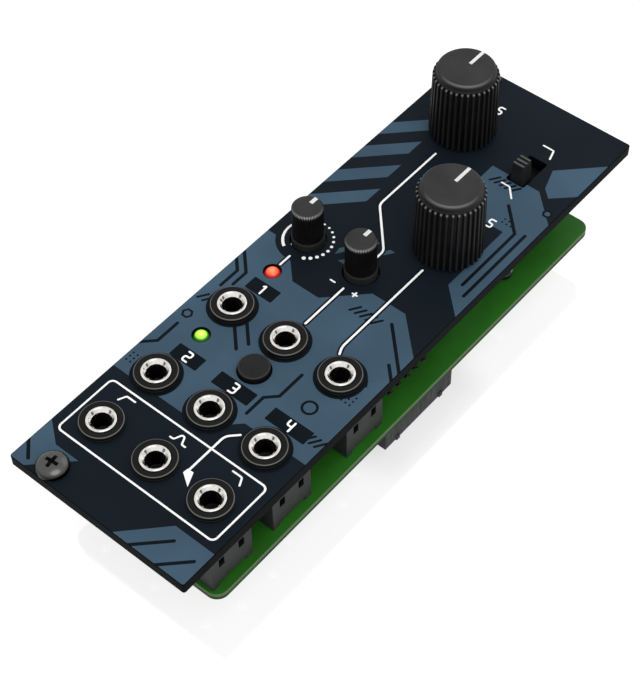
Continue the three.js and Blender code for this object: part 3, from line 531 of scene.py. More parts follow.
def plate(name, outline, holes, inks, levels, chamfer, materials, wall, rear):
    # A constrained Delaunay map of the outline, its holes and its inks, in four layers:
    # the front, the foot of the front chamfer, the head of the rear one, and the rear.
    # Inks are loops with a side and a material; a later ink covers an earlier one.
    loops = [grown(outline, -chamfer)] + [grown(hole, chamfer) for hole in holes]
    firstInk = len(loops)
    loops += [loop if signedArea(loop) > 0 else loop[::-1] for loop, side, material in inks]
    ends = np.cumsum([len(loop) for loop in loops])
    rims = [list(range(end - len(loop), end)) for loop, end in zip(loops, ends)]
    found = delaunay_2d_cdt([Vector(corner) for corner in np.concatenate(loops)], [], rims, 1, 1e-5)
    spots = np.array([spot[:] for spot in found[0]])
    kept, paints = [], {"front": [], "rear": []}
    for triangle, owners in zip(found[2], found[5]):
        if 0 not in owners or any(0 < owner < firstInk for owner in owners):
            continue
        kept.append(triangle[:])
        over = [inks[owner - firstInk] for owner in sorted(owners) if owner >= firstInk]
        for side, bare in (("front", materials[0]), ("rear", rear)):
            laid = [material for _, inkSide, material in over if inkSide == side]
            paints[side].append(materials.index(laid[-1] if laid else bare))
    triangles = np.array(kept)
    sides = np.concatenate([triangles[:, [0, 1]], triangles[:, [1, 2]], triangles[:, [2, 0]]])
    total = len(spots)
    codes = sides[:, 0] * total + sides[:, 1]
    rim = sides[~np.isin(sides[:, 1] * total + sides[:, 0], codes)]
    along = spots[rim[:, 1]] - spots[rim[:, 0]]
    outwards = np.stack([along[:, 1], -along[:, 0]], axis=1) / np.linalg.norm(along, axis=1)[:, None]
    sums = np.zeros_like(spots)
    np.add.at(sums, rim[:, 0], outwards)
    np.add.at(sums, rim[:, 1], outwards)
    lengths = np.maximum((sums ** 2).sum(axis=1)[:, None], 1e-9)
    widened = spots + 2 * chamfer * sums / lengths
    low, high = levels
    layers = [(spots, high), (widened, high - chamfer), (widened, low + chamfer), (spots, low)]
    a, b = rim[:, 0], rim[:, 1]
    walls = [np.stack([b, a, a + total, b + total], axis=1) + i * total for i in range(3)]
    faces = triangles.tolist() + (triangles[:, ::-1] + 3 * total).tolist() + np.concatenate(walls).tolist()
    indices = paints["front"] + paints["rear"] + [materials.index(wall)] * (3 * len(rim))
    points = np.concatenate([lifted(flat, z) for flat, z in layers])
    mesh = paintedMesh(name, points, faces, materials, indices)
    work = bmesh.new()
    work.from_mesh(mesh)
    loose = [corner for corner in work.verts if not corner.link_faces]
    bmesh.ops.delete(work, geom=loose, context="VERTS")
    work.to_mesh(mesh)
    work.free()
    shadeSmooth(mesh, meshLook["sharp"])
    return placed(name, mesh)


# Floor, light and camera
studioLook = {
    "worldLight": 0.68, "sunPower": 0.85, "sunWidth": 40, "sunWay": (-0.40, 0.16, -0.90),
    "lampPower": 0.13, "lampSize": 260, "lampPlace": (20, 330, 210), "lampAim": (0, 110, 0),
    "floorDiffuse": 0.22, "floorGlow": 0.885, "floorReach": 4000,
    "sheen": 0.1, "sheenRoughness": 0.07, "sheenFade": 0.8, "sheenBox": (-30, 1.3, 23.3, 150),
    "footSheen": 0.13, "footFade": 9,
    "cameraPlace": (131.613, -95.925, 243.207), "cameraWay": (-0.41201, 0.47215, -0.77931),
    "cameraRoll": -1.385, "lens": 92.04,
}


def seenRays(tree):
    # One for the rays that carry what is seen: the camera's own, reflected ones and those through glass
    rays = addNode(tree, "ShaderNodeLightPath").outputs
    direct = maths(tree, "MAXIMUM", rays["Is Camera Ray"], rays["Is Glossy Ray"])
    return maths(tree, "MAXIMUM", direct, rays["Is Transmission Ray"])


def aimed(name, data, way, place=(0, 0, 0), roll=0.0):
    # A lamp or camera that looks this way, rolled about its own axis by this many degrees
    thing = placed(name, data)
    thing.location = Vector(place) * mm
    turn = Vector(way).to_track_quat("-Z", "Y") @ Quaternion((0, 0, 1), math.radians(roll))
    thing.rotation_euler = turn.to_euler()
    return thing


def makeStudio():
    # An even white world, a wide sun, a soft lamp over the far end, and the camera
    look = SimpleNamespace(**studioLook)
    scene = bpy.context.scene
    world = scene.world = bpy.data.worlds.new("studio")
    world.use_nodes = True
    tree = world.node_tree
    strength = mapped(tree, seenRays(tree), after=(look.worldLight, 1))
    setInputs(tree, tree.nodes["Background"], {"Color": (1, 1, 1, 1), "Strength": strength})
    sun = bpy.data.lights.new("sun", "SUN")
    sun.energy = look.sunPower
    sun.angle = math.radians(look.sunWidth)
    aimed("sun", sun, look.sunWay)
    lamp = bpy.data.lights.new("soft lamp", "AREA")
    lamp.energy = look.lampPower
    lamp.size = look.lampSize * mm
    aimed("soft lamp", lamp, Vector(look.lampAim) - Vector(look.lampPlace), look.lampPlace)
    camera = bpy.data.cameras.new("camera")
    camera.lens = look.lens
    camera.clip_start = 0.01
    scene.camera = aimed("camera", camera, look.cameraWay, look.cameraPlace, look.cameraRoll)
    scene.view_settings.view_transform = "Standard"


def makeFloor():
    # White by its own glow, a matt layer for the shadow, and a weak sheen under and before the object,
    # stronger round the header's foot. The glow gives up as much as the sheen adds, so that the open
    # floor is evenly white.
    look = SimpleNamespace(**studioLook)
    made, tree, shader = newMaterial("pale_floor")
    tree.nodes.remove(shader)
    place = addNode(tree, "ShaderNodeTexCoord").outputs["Object"]
    axes = addNode(tree, "ShaderNodeSeparateXYZ", {"Vector": place}).outputs
    inside = 1.0
    for axis, edge, way in zip("XYXY", look.sheenBox, (1, 1, -1, -1)):
        fade = ((edge - way * look.sheenFade) * mm, edge * mm)
        inside = maths(tree, "MULTIPLY", inside, mapped(tree, axes[axis], fade, smooth=True))
    low, high = span("power_header")
    centre, half = (low + high) / 2 * mm, (high - low) / 2 * mm
    offset = vectorMaths(tree, "SUBTRACT", place, (centre[0], centre[1], 0))
    offset = vectorMaths(tree, "SUBTRACT", vectorMaths(tree, "ABSOLUTE", offset), (half[0], half[1], 1))
    offset = vectorMaths(tree, "MAXIMUM", offset, (0, 0, 0))
    away = vectorMaths(tree, "LENGTH", offset, result="Value")
    fade, levels = (0, look.footFade * mm), (look.sheen + look.footSheen, look.sheen)
    sheen = mapped(tree, away, fade, levels, smooth=True)
    share = maths(tree, "MULTIPLY", inside, sheen)
    glow = maths(tree, "MULTIPLY", seenRays(tree), maths(tree, "SUBTRACT", look.floorGlow, share))
    tone = addNode(tree, "ShaderNodeCombineColor", {0: share, 1: share, 2: share}).outputs[0]
    layered = addNode(tree, "ShaderNodeBsdfDiffuse", {"Color": (look.floorDiffuse,) * 3 + (1,)}).outputs[0]
    for kind, inputs in (("ShaderNodeBsdfGlossy", {"Color": tone, "Roughness": look.sheenRoughness}),
                         ("ShaderNodeEmission", {"Strength": glow})):
        layer = addNode(tree, kind, inputs).outputs[0]
        layered = addNode(tree, "ShaderNodeAddShader", {0: layered, 1: layer}).outputs[0]
    setInputs(tree, tree.nodes["Material Output"], {"Surface": layered})
    corners = lifted(np.array([(-1, -1), (1, -1), (1, 1), (-1, 1)]) * look.floorReach, cadBox[0][2] / mm)
    mesh = bpy.data.meshes.new("floor")
    mesh.from_pydata(corners * mm, [], [(0, 1, 2, 3)])
    mesh.materials.append(made)
    placed("floor", mesh)


makeStudio()
makeFloor()
print("floor, light and camera made")


# Places that the print and the board share
jackPlace = {f"jack_{row}_{column}": middle(f"jack_{row}_{column}_nut")[:2]
             for row in ("upper", "middle", "lower") for column in ("left", "middle", "right")}
largeKnobPlace = {i: middle(f"large_pot_{i}_shaft")[:2] for i in (1, 2)}
smallKnobPlace = {i: middle(f"small_knob_{i}")[:2] for i in (1, 2)}
lightPlace = {colour: middle(f"{colour}_led")[:2] for colour in ("red", "green")}
buttonPlace = middle("button_cap")[:2]
slotPlace = middle("slide_switch_frame")[:2]
screwPlace = {end: middle(f"rack_screw_{end}")[:2] for end in ("lower", "upper")}


# Front panel: its holes, and the print laid into its face
panelLook = {
    "cornerRadius": 0.5, "chamfer": 0.12, "jackHole": 2.95, "largePotHole": 3.6, "smallPotHole": 3.45,
    "lightHole": 1.6, "buttonHole": 3.1, "slotHalf": (2.0, 3.95), "slotRadius": 0.35,
    "screwHalf": (2.5, 1.7), "screwHoleRadius": 1.69,
}
printLook = {
    "line": 0.43, "border": 0.35, "bend": 0.9, "mark": 0.35, "markBend": 0.3,
    "jackDisc": 4.85, "scaleDisc": 6.2, "lightDisc": 1.8,
    "labels": {1: ((-14.25, 50.5), (-7.95, 53.6)), 2: ((-14.25, 30.3), (-7.95, 33.4)),
               3: ((-4.25, 30.3), (4.15, 33.4)), 4: ((8.25, 30.3), (17.05, 33.4))},
    "labelRadius": 0.2, "labelDigit": 2.1, "knobDigit": 2.0, "knobDigitPlaces": ((-5.3, 117.2), (11.3, 91.6)),
    "digitLine": 0.38, "digitBend": 0.42, "digitWidth": 0.52,
    "outputBox": ((-18.2, 6.05), (18.45, 20.0), 1.2),
    "outputBoxInside": ((-17.83, 6.42), (18.08, 19.63), 0.86),
    "arrow": ((5.2, 14.2), (6.5, 14.3), (7.7, 11.5), (5.1, 13.2)),
}
cutLook = {"line": 0.66, "bar": 0.5, "barRun": (1.2, 1.8), "dot": 0.22, "dotPitch": 0.95, "ring": 0.5}
scaleLook = {"radius": 4.8, "sweep": 150, "arcWidths": (0.26, 0.58), "dots": 11, "dotRadii": (0.22, 0.4)}


def slateFields():
    # Broad fields of slate: a band across the middle, bars above it, and corners below
    left, right, foot = -20.6, 20.6, -3.5
    fields = [
        [(left, 22.2), (1.2, 22.2), (6.4, 27.4), (right, 27.4), (right, 56.4), (12.6, 64.0), (5.0, 64.0),
         (-2.0, 57.0), (-8.2, 57.0), (-15.0, 63.8), (left, 63.8)],
        [(right, 68.6), (right, 97.4), (13.6, 104.0), (2.6, 104.0), (2.6, 98.4), (9.8, 91.2), (14.4, 91.2),
         (14.4, 74.4)],
        [(left, foot), (-17.4, foot), (-10.2, 3.6), (-15.6, 3.6), (left, 7.4)],
        [(3.6, foot), (right, foot), (right, 4.6), (11.4, 4.6)],
        [(12.4, 110.2), (right, 118.4), (right, 108.0), (16.0, 103.6), (14.0, 105.4)],
    ]
    bars = [[(left, 71 + step), (left, 75.2 + step), (-10.4 - step * 0.1, 85.4 + step * 0.9),
             (-10.4 - step * 0.1, 81.2 + step * 0.9)] for step in (0, 8.4, 16.8, 25.2)]
    rays = [[(x, 66.2), (x + 1.5, 66.2), (x + 7.0, 74.4), (x + 5.9, 74.4)] for x in (-8.6, -5.0)]
    return [np.array(loop, float) for loop in fields + bars + rays]


def darkCuts():
    # Long cuts, rows of short slanted bars and fields of dots, in a dark ink over the slate
    lines = [
        [(-20.6, 57.6), (-16.2, 53.2), (-16.2, 49.6)], [(-20.6, 55.4), (-17.8, 52.6), (-17.8, 48.0)],
        [(20.6, 52.2), (16.6, 56.2), (12.2, 60.6)], [(20.6, 50.0), (17.6, 53.0)],
        [(-4.6, 40.8), (-8.8, 45.0)], [(-5.6, 38.6), (-9.4, 42.4)],
        [(5.2, 29.2), (5.2, 33.6), (7.2, 35.6), (7.2, 41.6)], [(-20.6, 28.4), (-17.8, 31.2), (-17.8, 36.4)],
        [(16.4, 76.0), (16.4, 92.2), (11.2, 97.4)], [(18.2, 74.0), (18.2, 93.0)],
        [(7.4, -3.5), (13.2, 2.3)], [(13.4, -3.5), (18.4, 1.5)], [(-20.6, 2.0), (-17.2, -1.4)],
    ]
    barRows = [(4.2, 58.4, 5, 1.25), (-19.2, 43.2, 3, 1.25), (15.2, 31.2, 4, 1.2), (4.4, 100.6, 5, 1.2)]
    dotFields = [(15.0, 41.8, 4, 3), (-19.2, 24.6, 3, 3), (12.8, 93.2, 3, 2)]
    look = SimpleNamespace(**cutLook)
    run, rise = look.barRun
    cuts = [strip(line, look.line) for line in lines]
    for x, y, count, step in barRows:
        starts = x + step * np.arange(count)
        cuts += [strip([(start, y), (start + run, y + rise)], look.bar) for start in starts]
    for x, y, columns, rows in dotFields:
        cuts += [circle(look.dot, (x + look.dotPitch * i, y + look.dotPitch * j), 10)
                 for i in range(columns) for j in range(rows)]
    return cuts


def ringInks():
    # Dark rings, six-sided or round, with the slate inside them
    inks = []
    for x, y, radius, sides in [(16.2, 46.8, 1.5, 6), (-18.0, 39.2, 1.2, 6), (18.2, 100.2, 1.1, 6),
                                (12.85, 37.0, 1.6, 36)]:
        inks += inked([circle(radius, (x, y), sides)], "dark_ink")
        inks += inked([circle(radius - cutLook["ring"], (x, y), sides)], "slate_ink")
    return inks


# Strokes of each digit, one wide and two high
digitStrokes = {
    1: [[(0.2, 1.65), (0.6, 2.0), (0.6, 0.0)]],
    2: [[(0, 2), (1, 2), (1, 1), (0, 1), (0, 0), (1, 0)]],
    3: [[(0, 2), (1, 2), (1, 0), (0, 0)], [(0.3, 1), (1, 1)]],
    4: [[(0, 2), (0, 1), (1, 1)], [(1, 2), (1, 0)]],
    5: [[(1, 2), (0, 2), (0, 1), (1, 1), (1, 0), (0, 0)]],
}
# The guides between the controls, and the arrow's shaft
guideLines = [
    [(-7.95, 99.6), (-7.95, 82.2), (0.1, 73.4), (0.1, 71.0)],
    [(0.1, 61.6), (0.1, 50.9)],
    [(8.6, 74.2), (8.6, 50.9), (9.3, 49.4)],
    [(-12.65, 61.4), (-12.65, 58.7)],
    [(7.45, 25.1), (5.55, 23.2), (5.55, 13.8)],
]
# The curves beside the outputs and the switch, and the signs under a small knob
curveMarks = [
    [(-14.05, 17.2), (-13.35, 18.7), (-11.35, 18.7)],
    [(-1.65, 17.2), (-0.85, 17.2), (-0.2, 18.7), (0.4, 18.7), (1.05, 17.2), (1.85, 17.2)],
    [(11.45, 18.7), (13.5, 18.7), (14.25, 17.2)],
    [(7.05, 114.7), (9.45, 114.7), (10.15, 112.4)],
    [(6.6, 101.5), (8.45, 101.5), (10.55, 99.2)],
    [(-3.05, 61.75), (-2.05, 61.75)],
    [(2.15, 61.75), (3.15, 61.75)],
    [(2.65, 61.25), (2.65, 62.25)],
]


def digitLoops(digit, centre, height):
    # The digit's strokes, scaled to this height about the centre and drawn as strips
    look = printLook
    scale = np.array([height * look["digitWidth"], height / 2])
    corner = np.array(centre) - scale * (0.5, 1)
    return [strip(corner + scale * np.array(stroke), look["digitLine"], look["digitBend"])
            for stroke in digitStrokes[digit]]


def scaleMarks():
    # The small knob's scale, with 12 o'clock at zero: a widening arc on its left, growing dots on its right
    look = SimpleNamespace(**scaleLook)
    centre = smallKnobPlace[1]
    arc = np.radians(np.linspace(0, -look.sweep, 21))
    way = np.stack([np.sin(arc), np.cos(arc)], axis=1)
    half = np.linspace(*look.arcWidths, len(arc))[:, None] / 2
    wedge = centre + np.concatenate([way * (look.radius + half), (way * (look.radius - half))[::-1]])
    dots = np.radians(np.linspace(0, look.sweep, look.dots))
    spots = centre + look.radius * np.stack([np.sin(dots), np.cos(dots)], axis=1)
    radii = np.linspace(*look.dotRadii, look.dots)
    return [wedge] + [circle(radius, spot, 14) for radius, spot in zip(radii, spots)]


def panelInks():
    # From the bottom layer up: slate, dark ink round what is printed or mounted, and white on top
    look = SimpleNamespace(**printLook)
    # Each jack's dark disc is partly a printed ring and partly a painted shadow round its nut
    discs = {jack: circle(look.jackDisc, place) for jack, place in jackPlace.items()}
    lowerDiscs = [disc for jack, disc in discs.items() if "lower" in jack]
    inks = inked(slateFields(), "slate_ink") + inked(darkCuts(), "dark_ink") + ringInks()
    inks += inked(discs.values(), "dark_ink")
    inks += inked([circle(look.scaleDisc, smallKnobPlace[1])], "navy_lacquer")
    inks += inked([circle(look.lightDisc, place, 32) for place in lightPlace.values()], "dark_ink")
    inks += inked([strip(line, look.line + 2 * look.border, look.bend) for line in guideLines], "dark_ink")
    for digit, (low, high) in look.labels.items():
        inks += inked([roundedRectangle(low, high, look.labelRadius, 2)], "dark_ink")
        inks += inked(digitLoops(digit, np.add(low, high) / 2, look.labelDigit), "white_ink")
    for place in look.knobDigitPlaces:
        inks += inked(digitLoops(5, place, look.knobDigit), "white_ink")
    inks += inked([roundedRectangle(*look.outputBox)], "white_ink")
    inks += inked([roundedRectangle(*look.outputBoxInside)] + lowerDiscs, "navy_lacquer")
    inks += inked([strip(line, look.line, look.bend) for line in guideLines], "white_ink")
    inks += inked([strip(line, look.mark, look.markBend) for line in curveMarks], "white_ink")
    return inks + inked(scaleMarks() + [np.array(look.arrow)], "white_ink")


def panelHoles():
    # Round holes for the controls, a rounded slot for the switch, and long ones for the rack screws
    look = SimpleNamespace(**panelLook)
    holes = [circle(look.jackHole, place) for place in jackPlace.values()]
    holes += [circle(look.largePotHole, place) for place in largeKnobPlace.values()]
    holes += [circle(look.smallPotHole, place) for place in smallKnobPlace.values()]
    holes += [circle(look.lightHole, place, 36) for place in lightPlace.values()]
    holes.append(circle(look.buttonHole, buttonPlace))
    holes.append(boxRound(slotPlace, look.slotHalf, look.slotRadius, 4))
    holes += [boxRound(place, look.screwHalf, look.screwHoleRadius, 10) for place in screwPlace.values()]
    return holes


def makePanel():
    # A rounded rectangle of the panel's own size, with its holes and its print
    low, high = span("front_panel")
    outline = roundedRectangle(low[:2], high[:2], panelLook["cornerRadius"], 5)
    materials = ["navy_lacquer", "slate_ink", "dark_ink", "white_ink", "panel_edge", "panel_rear"]
    piece = plate("printed_front_panel", outline, panelHoles(), panelInks(), (low[2], high[2]),
                  panelLook["chamfer"], materials, "panel_edge", "panel_rear")
    standIn(piece, "front_panel")


makePanel()
print("front panel made")


# Circuit board with its traces, pads and printed outlines
boardLook = {
    "cornerRadius": 2.5, "chamfer": 0.1, "pinHole": 0.5, "pinPitch": 2.54, "pinRows": 5, "headerRib": 0.3,
    "trace": 0.32, "pad": 0.95, "upperPad": 0.66, "via": 0.42, "outline": 0.18,
    "longTraces": (-17.6, -16.9, -16.2, -1.0, -0.3, 5.2, 5.9, 16.9, 17.6), "traceShift": 1.4,
    "traceLimit": 18, "traceEnds": (9, 112), "traceSteps": (3.1, 4.3, 5), "padTrace": (0.6, 0.5, 0.8),
    "jointTrace": (1.9, 4.2), "partTrace": (0.7, 1.6), "padSides": 22, "dotSides": 14,
    "smallPad": (0.45, 0.4), "smallPadStep": 0.8, "bracketGap": (0.9, 0.6), "bracketArms": (1.4, 1.6),
    "cornerDot": (1.6, 0.8, 0.3),
}
# Where legs come through the board, measured from the middle of their part
legLook = {
    "jackTip": 4.6, "jackSide": (2.4, 2.6), "largePot": 5.7, "smallPot": 5.45, "potPitch": 2.5,
    "switch": (1.6, 3), "switchFrame": 7.05, "button": (2.4, 1.6), "light": 0.65, "capacitor": 0.9,
}
chipNames = ("lower", "middle", "upper")
chipLook = {
    "pitch": 1.27, "endRoom": 1.08, "bodyHalf": 1.95, "padReach": 2.75, "padHalf": (0.75, 0.3),
    "padRadius": 0.1, "legGap": 0.03, "bevel": 0.06,
}
smallPartLook = {
    "count": 5, "pitch": 2.3, "reach": 6.4, "limit": 17.5, "half": (0.38, 0.55), "height": 0.6, "lift": 0.03,
    "round": 0.07, "endHalf": (0.42, 0.15), "endStep": 0.68, "endRound": 0.06,
}


def pinPlaces():
    # Two columns of pins at the header's middle, which its keying rib moves a little
    look = SimpleNamespace(**boardLook)
    low, high = span("power_header")
    centre = np.array([(low[0] + high[0] - look.headerRib) / 2, (low[1] + high[1]) / 2])
    rows = (np.arange(look.pinRows) - (look.pinRows - 1) / 2) * look.pinPitch
    return [centre + (side * look.pinPitch / 2, y) for y in rows for side in (-1, 1)]


def jointPlaces():
    # Each part's middle, plus and minus the steps to its legs across and along
    look = SimpleNamespace(**legLook)
    spots = []
    for jack, place in jackPlace.items():
        way = -1 if "lower" in jack else 1
        across, back = look.jackSide
        spots.append(place + (0, way * look.jackTip))
        spots += [place + (side * across, -way * back) for side in (-1, 1)]
    for places, reach in [(largeKnobPlace, look.largePot), (smallKnobPlace, look.smallPot)]:
        spots += [place + (side * look.potPitch, -reach) for place in places.values() for side in (-1, 0, 1)]
    across, along = look.switch
    spots += [slotPlace + (x, y) for x in (-across, across) for y in (-along, 0, along)]
    spots += [slotPlace + (0, end * look.switchFrame) for end in (-1, 1)]
    across, along = look.button
    spots += [buttonPlace + (x, y) for x in (-across, across) for y in (-along, along)]
    spots += [place + (0, side * look.light) for place in lightPlace.values() for side in (-1, 1)]
    cans = [middle(f"capacitor_{i}")[:2] for i in (1, 2)]
    return spots + [can + (side * look.capacitor, 0) for can in cans for side in (-1, 1)]


def chipPads():
    # Centre of each chip leg's pad, with the side that it is on
    pads = []
    for name in chipNames:
        low, high = span(f"{name}_chip")
        centre = (low + high) / 2
        count = int(round((high[1] - low[1] - chipLook["endRoom"]) / chipLook["pitch"])) + 1
        rows = centre[1] + (np.arange(count) - (count - 1) / 2) * chipLook["pitch"]
        pads += [(centre[0] + side * chipLook["padReach"], y, side) for y in rows for side in (-1, 1)]
    return pads


def smallPartPlaces():
    # Rows of small resistors and capacitors beside the chips, on the board's underside; every third is pale
    look = SimpleNamespace(**smallPartLook)
    places = []
    for number, name in enumerate(chipNames):
        x, y = middle(f"{name}_chip")[:2]
        places += [(x + side * look.reach, y + (i - (look.count - 1) / 2) * look.pitch, (i + number) % 3 == 0)
                   for side in (-1, 1) for i in range(look.count)]
    return [part for part in places if abs(part[0]) < look.limit]


def traceLines(joints, pads, parts):
    # A bent trace from each chip's pad, long ones with a jog half way, and short ones from joints and parts
    look = SimpleNamespace(**boardLook)
    lines = []
    short, more, slope = look.padTrace
    for x, y, side in pads:
        bend = short + more * ((y * 3) % 2)
        lines.append([(x, y), (x + side * bend, y), (x + side * (bend + slope), y + slope)])
    (first, last), (lowStep, highStep, halfStep) = look.traceEnds, look.traceSteps
    for number, x in enumerate(look.longTraces):
        low, high = first + lowStep * (number % 3), last - highStep * (number % 4)
        shift = look.traceShift if number % 2 else -look.traceShift
        shift = -shift if abs(x + shift) > look.traceLimit else shift
        half = (low + high) / 2 + halfStep * (number % 3)
        lines.append([(x, low), (x, half), (x + shift, half + abs(shift)), (x + shift, high)])
    near, far = look.jointTrace
    lines += [[spot, spot + (near, near), spot + (near, far)] for spot in joints[::2]]
    near, far = look.partTrace
    return lines + [[(x, y - near), (x, y - far)] for x, y, _ in parts[::2]]


def silkLoops(name):
    # Brackets round the corners of a part, and a dot at its first leg
    look = boardLook
    (left, lower, _), (right, upper, _) = span(name)
    gapX, gapY = look["bracketGap"]
    armX, armY = look["bracketArms"]
    loops = []
    for y, away in ((lower, -1), (upper, 1)):
        for x, inwards in ((left, 1), (right, -1)):
            corner = np.array([x - inwards * gapX, y + away * gapY])
            arms = [corner + (inwards * armX, 0), corner, corner - (0, away * armY)]
            loops.append(strip(arms, look["outline"]))
    dotX, dotY, radius = look["cornerDot"]
    return loops + [circle(radius, (left - dotX, upper - dotY), look["dotSides"])]


def boardInks():
    # Traces and their vias, tinned pads and rings, and the printed outlines of the parts
    look = SimpleNamespace(**boardLook)
    joints, pads, parts, pins = jointPlaces(), chipPads(), smallPartPlaces(), pinPlaces()
    lines = traceLines(joints, pads, parts)
    inks = inked([strip(line, look.trace) for line in lines], "trace_under_mask", "rear")
    vias = [circle(look.via, line[-1], look.dotSides) for line in lines[:len(pads)]]
    inks += inked(vias, "trace_under_mask", "rear")
    inks += inked([circle(look.pad, spot, look.padSides) for spot in joints], "tinned_legs", "rear")
    for spot in pins:
        inks += inked([circle(look.upperPad, spot, look.padSides)], "tinned_legs")
        inks += inked([circle(look.pad, spot, look.padSides)], "tinned_legs", "rear")
    radius = chipLook["padRadius"]
    tinned = [boxRound((x, y), chipLook["padHalf"], radius, 2) for x, y, _ in pads]
    tinned += [boxRound((x, y + end * look.smallPadStep), look.smallPad, radius, 2)
               for x, y, _ in parts for end in (-1, 1)]
    inks += inked(tinned, "tinned_legs", "rear")
    for name in (*[f"{chip}_chip" for chip in chipNames], "power_header"):
        inks += inked(silkLoops(name), "silkscreen", "rear")
    return inks


def makeBoard():
    # A rounded rectangle of the board's own size, with a hole for each header pin
    outline = roundedRectangle(boardLow[:2], boardHigh[:2], boardLook["cornerRadius"], 8)
    holes = [circle(boardLook["pinHole"], spot, 20) for spot in pinPlaces()]
    materials = ["solder_mask", "trace_under_mask", "tinned_legs", "silkscreen", "board_edge"]
    piece = plate("etched_board", outline, holes, boardInks(), (boardBottom, boardTop), boardLook["chamfer"],
                  materials, "board_edge", "solder_mask")
    standIn(piece, "main_board")


# Radius and height: drawn-up solder with the leg's cut tip, and the low ring round a header pin
solderLook = {
    "drop": ((0, 0), (0.85, 0), (0.62, -0.16), (0.42, -0.42), (0.34, -0.7), (0.3, -0.95), (0.22, -1.02),
             (0, -1.04)),
    "ring": ((0.46, 0), (0.64, 0), (0.56, 0.08), (0.48, 0.2), (0.46, 0.22), (0.46, 0)), "sink": 0.02,
    "dropSides": 14, "ringSides": 16,
}


def makeSolder():
    # The drop hangs under each leg and the ring lies round each header pin, both carried round the leg
    look = SimpleNamespace(**solderLook)
    drop = np.add(look.drop, (0, boardBottom + look.sink))
    drops = [turned(drop, look.dropSides, *spot) for spot in jointPlaces()]
    addTo(fromGrids("solder_joints", drops, ["solder"], sharp=60), "main_board")
    # The solder rings round the header pins are painted dark, a painted shade
    ring = np.add(look.ring, (0, boardTop - look.sink))
    collars = [turned(ring, look.ringSides, *spot) for spot in pinPlaces()]
    addTo(fromGrids("header_solder", collars, ["shaded_pin_tips"], sharp=60), "main_board")


def makeSmallParts():
    # Each part: a body between two tinned ends, standing on its pads under the board
    look = SimpleNamespace(**smallPartLook)
    grids, paints = [], []
    foot = boardBottom - look.height
    for x, y, pale in smallPartPlaces():
        grids.append(uprightBlock((x, y), look.half, foot, boardBottom - look.lift, look.round))
        for end in (y - look.endStep, y + look.endStep):
            grids.append(uprightBlock((x, end), look.endHalf, foot - look.lift, boardBottom, look.endRound))
        paints += [1 if pale else 0, 2, 2]
    materials = ["resistor_body", "ceramic_body", "tinned_legs"]
    addTo(fromGrids("small_parts", grids, materials, paints, sharp=40), "main_board")


makeBoard()
makeSolder()
makeSmallParts()
print("board made")


# Jacks
bushingLook = {
    "sides": 96, "radius": 2.78, "boreRadius": 1.8, "mouthRadius": 2.35, "mouthDepth": 0.65,
    "lipRadius": 2.64, "chamfer": 0.16, "flangeHeight": 0.8, "coneShares": (0.15, 0.3, 0.5, 0.65),
    "notchDepth": 0.14, "notchHalf": 7, "notchFlank": 3, "notchRing": (1.98, 2.3), "notchBelow": 0.5,
    "wearDepth": 0.3, "wearRadius": 2,
}
nutLook = {
    "sides": 72, "inner": 2.84, "baseRadius": 4.2, "baseHeight": 0.3, "radius": 4.1, "topRadius": 3.95,
    "stepRise": 0.03, "bevelHeight": 0.2, "innerBevel": 0.12, "wornWidth": 0.16, "wearDrop": 0.02,
    "wearSpread": 0.003,
}
housingLook = {"bevel": 0.16, "windowLevels": (-8.25, -6.05), "windowWidth": 1.35}


def makeBushing(jack, x, y):
    # Flange under the panel, neck, chamfered lip and coned mouth; four notches lower the mouth's edge. The
    # bore is painted darker further down, and the notches darker too, a painted shade.
    look = SimpleNamespace(**bushingLook)
    bottom, top, flange = footHeadRadius(f"{jack}_bushing")
    flangeTop, mouthFoot = bottom + look.flangeHeight, top - look.mouthDepth
    narrowing = look.boreRadius - look.mouthRadius
    cone = [(look.mouthRadius + share * narrowing, top - share * look.mouthDepth, 0.01)
            for share in look.coneShares]
    loop = roundedRing([
        (look.boreRadius, bottom, 0.05), (flange, bottom, 0.1), (flange, flangeTop, 0.1),
        (look.radius, flangeTop, 0.03), (look.radius, top - look.chamfer, 0.08),
        (look.lipRadius, top, 0.1), (look.mouthRadius, top, 0.08), *cone, (look.boreRadius, mouthFoot, 0.1),
    ], 3)
    grid = turned(loop, look.sides, x, y)
    angles = np.degrees(onceRound(look.sides))
    notch = np.clip((look.notchHalf - np.abs((angles + 45) % 90 - 45)) / look.notchFlank, 0, 1)
    radius, height = loop[:, :1], loop[:, 1:]
    mouth = (height > top - look.notchBelow) & (radius > look.notchRing[0]) & (radius < look.notchRing[1])
    grid[..., 2] -= look.notchDepth * mouth * notch
    # Painted shade: darker down the bore and in the notches
    deep = np.clip((mouthFoot - height) / look.wearDepth, 0, 1) * (radius < look.wearRadius)
    paintedLight = np.maximum(deep + 0 * notch, mouth * notch)
    piece = fromGrids(f"{jack}_turned_bushing", [grid], ["bushing_nickel"], values={"paintedLight": [paintedLight]})
    standIn(piece, f"{jack}_bushing")


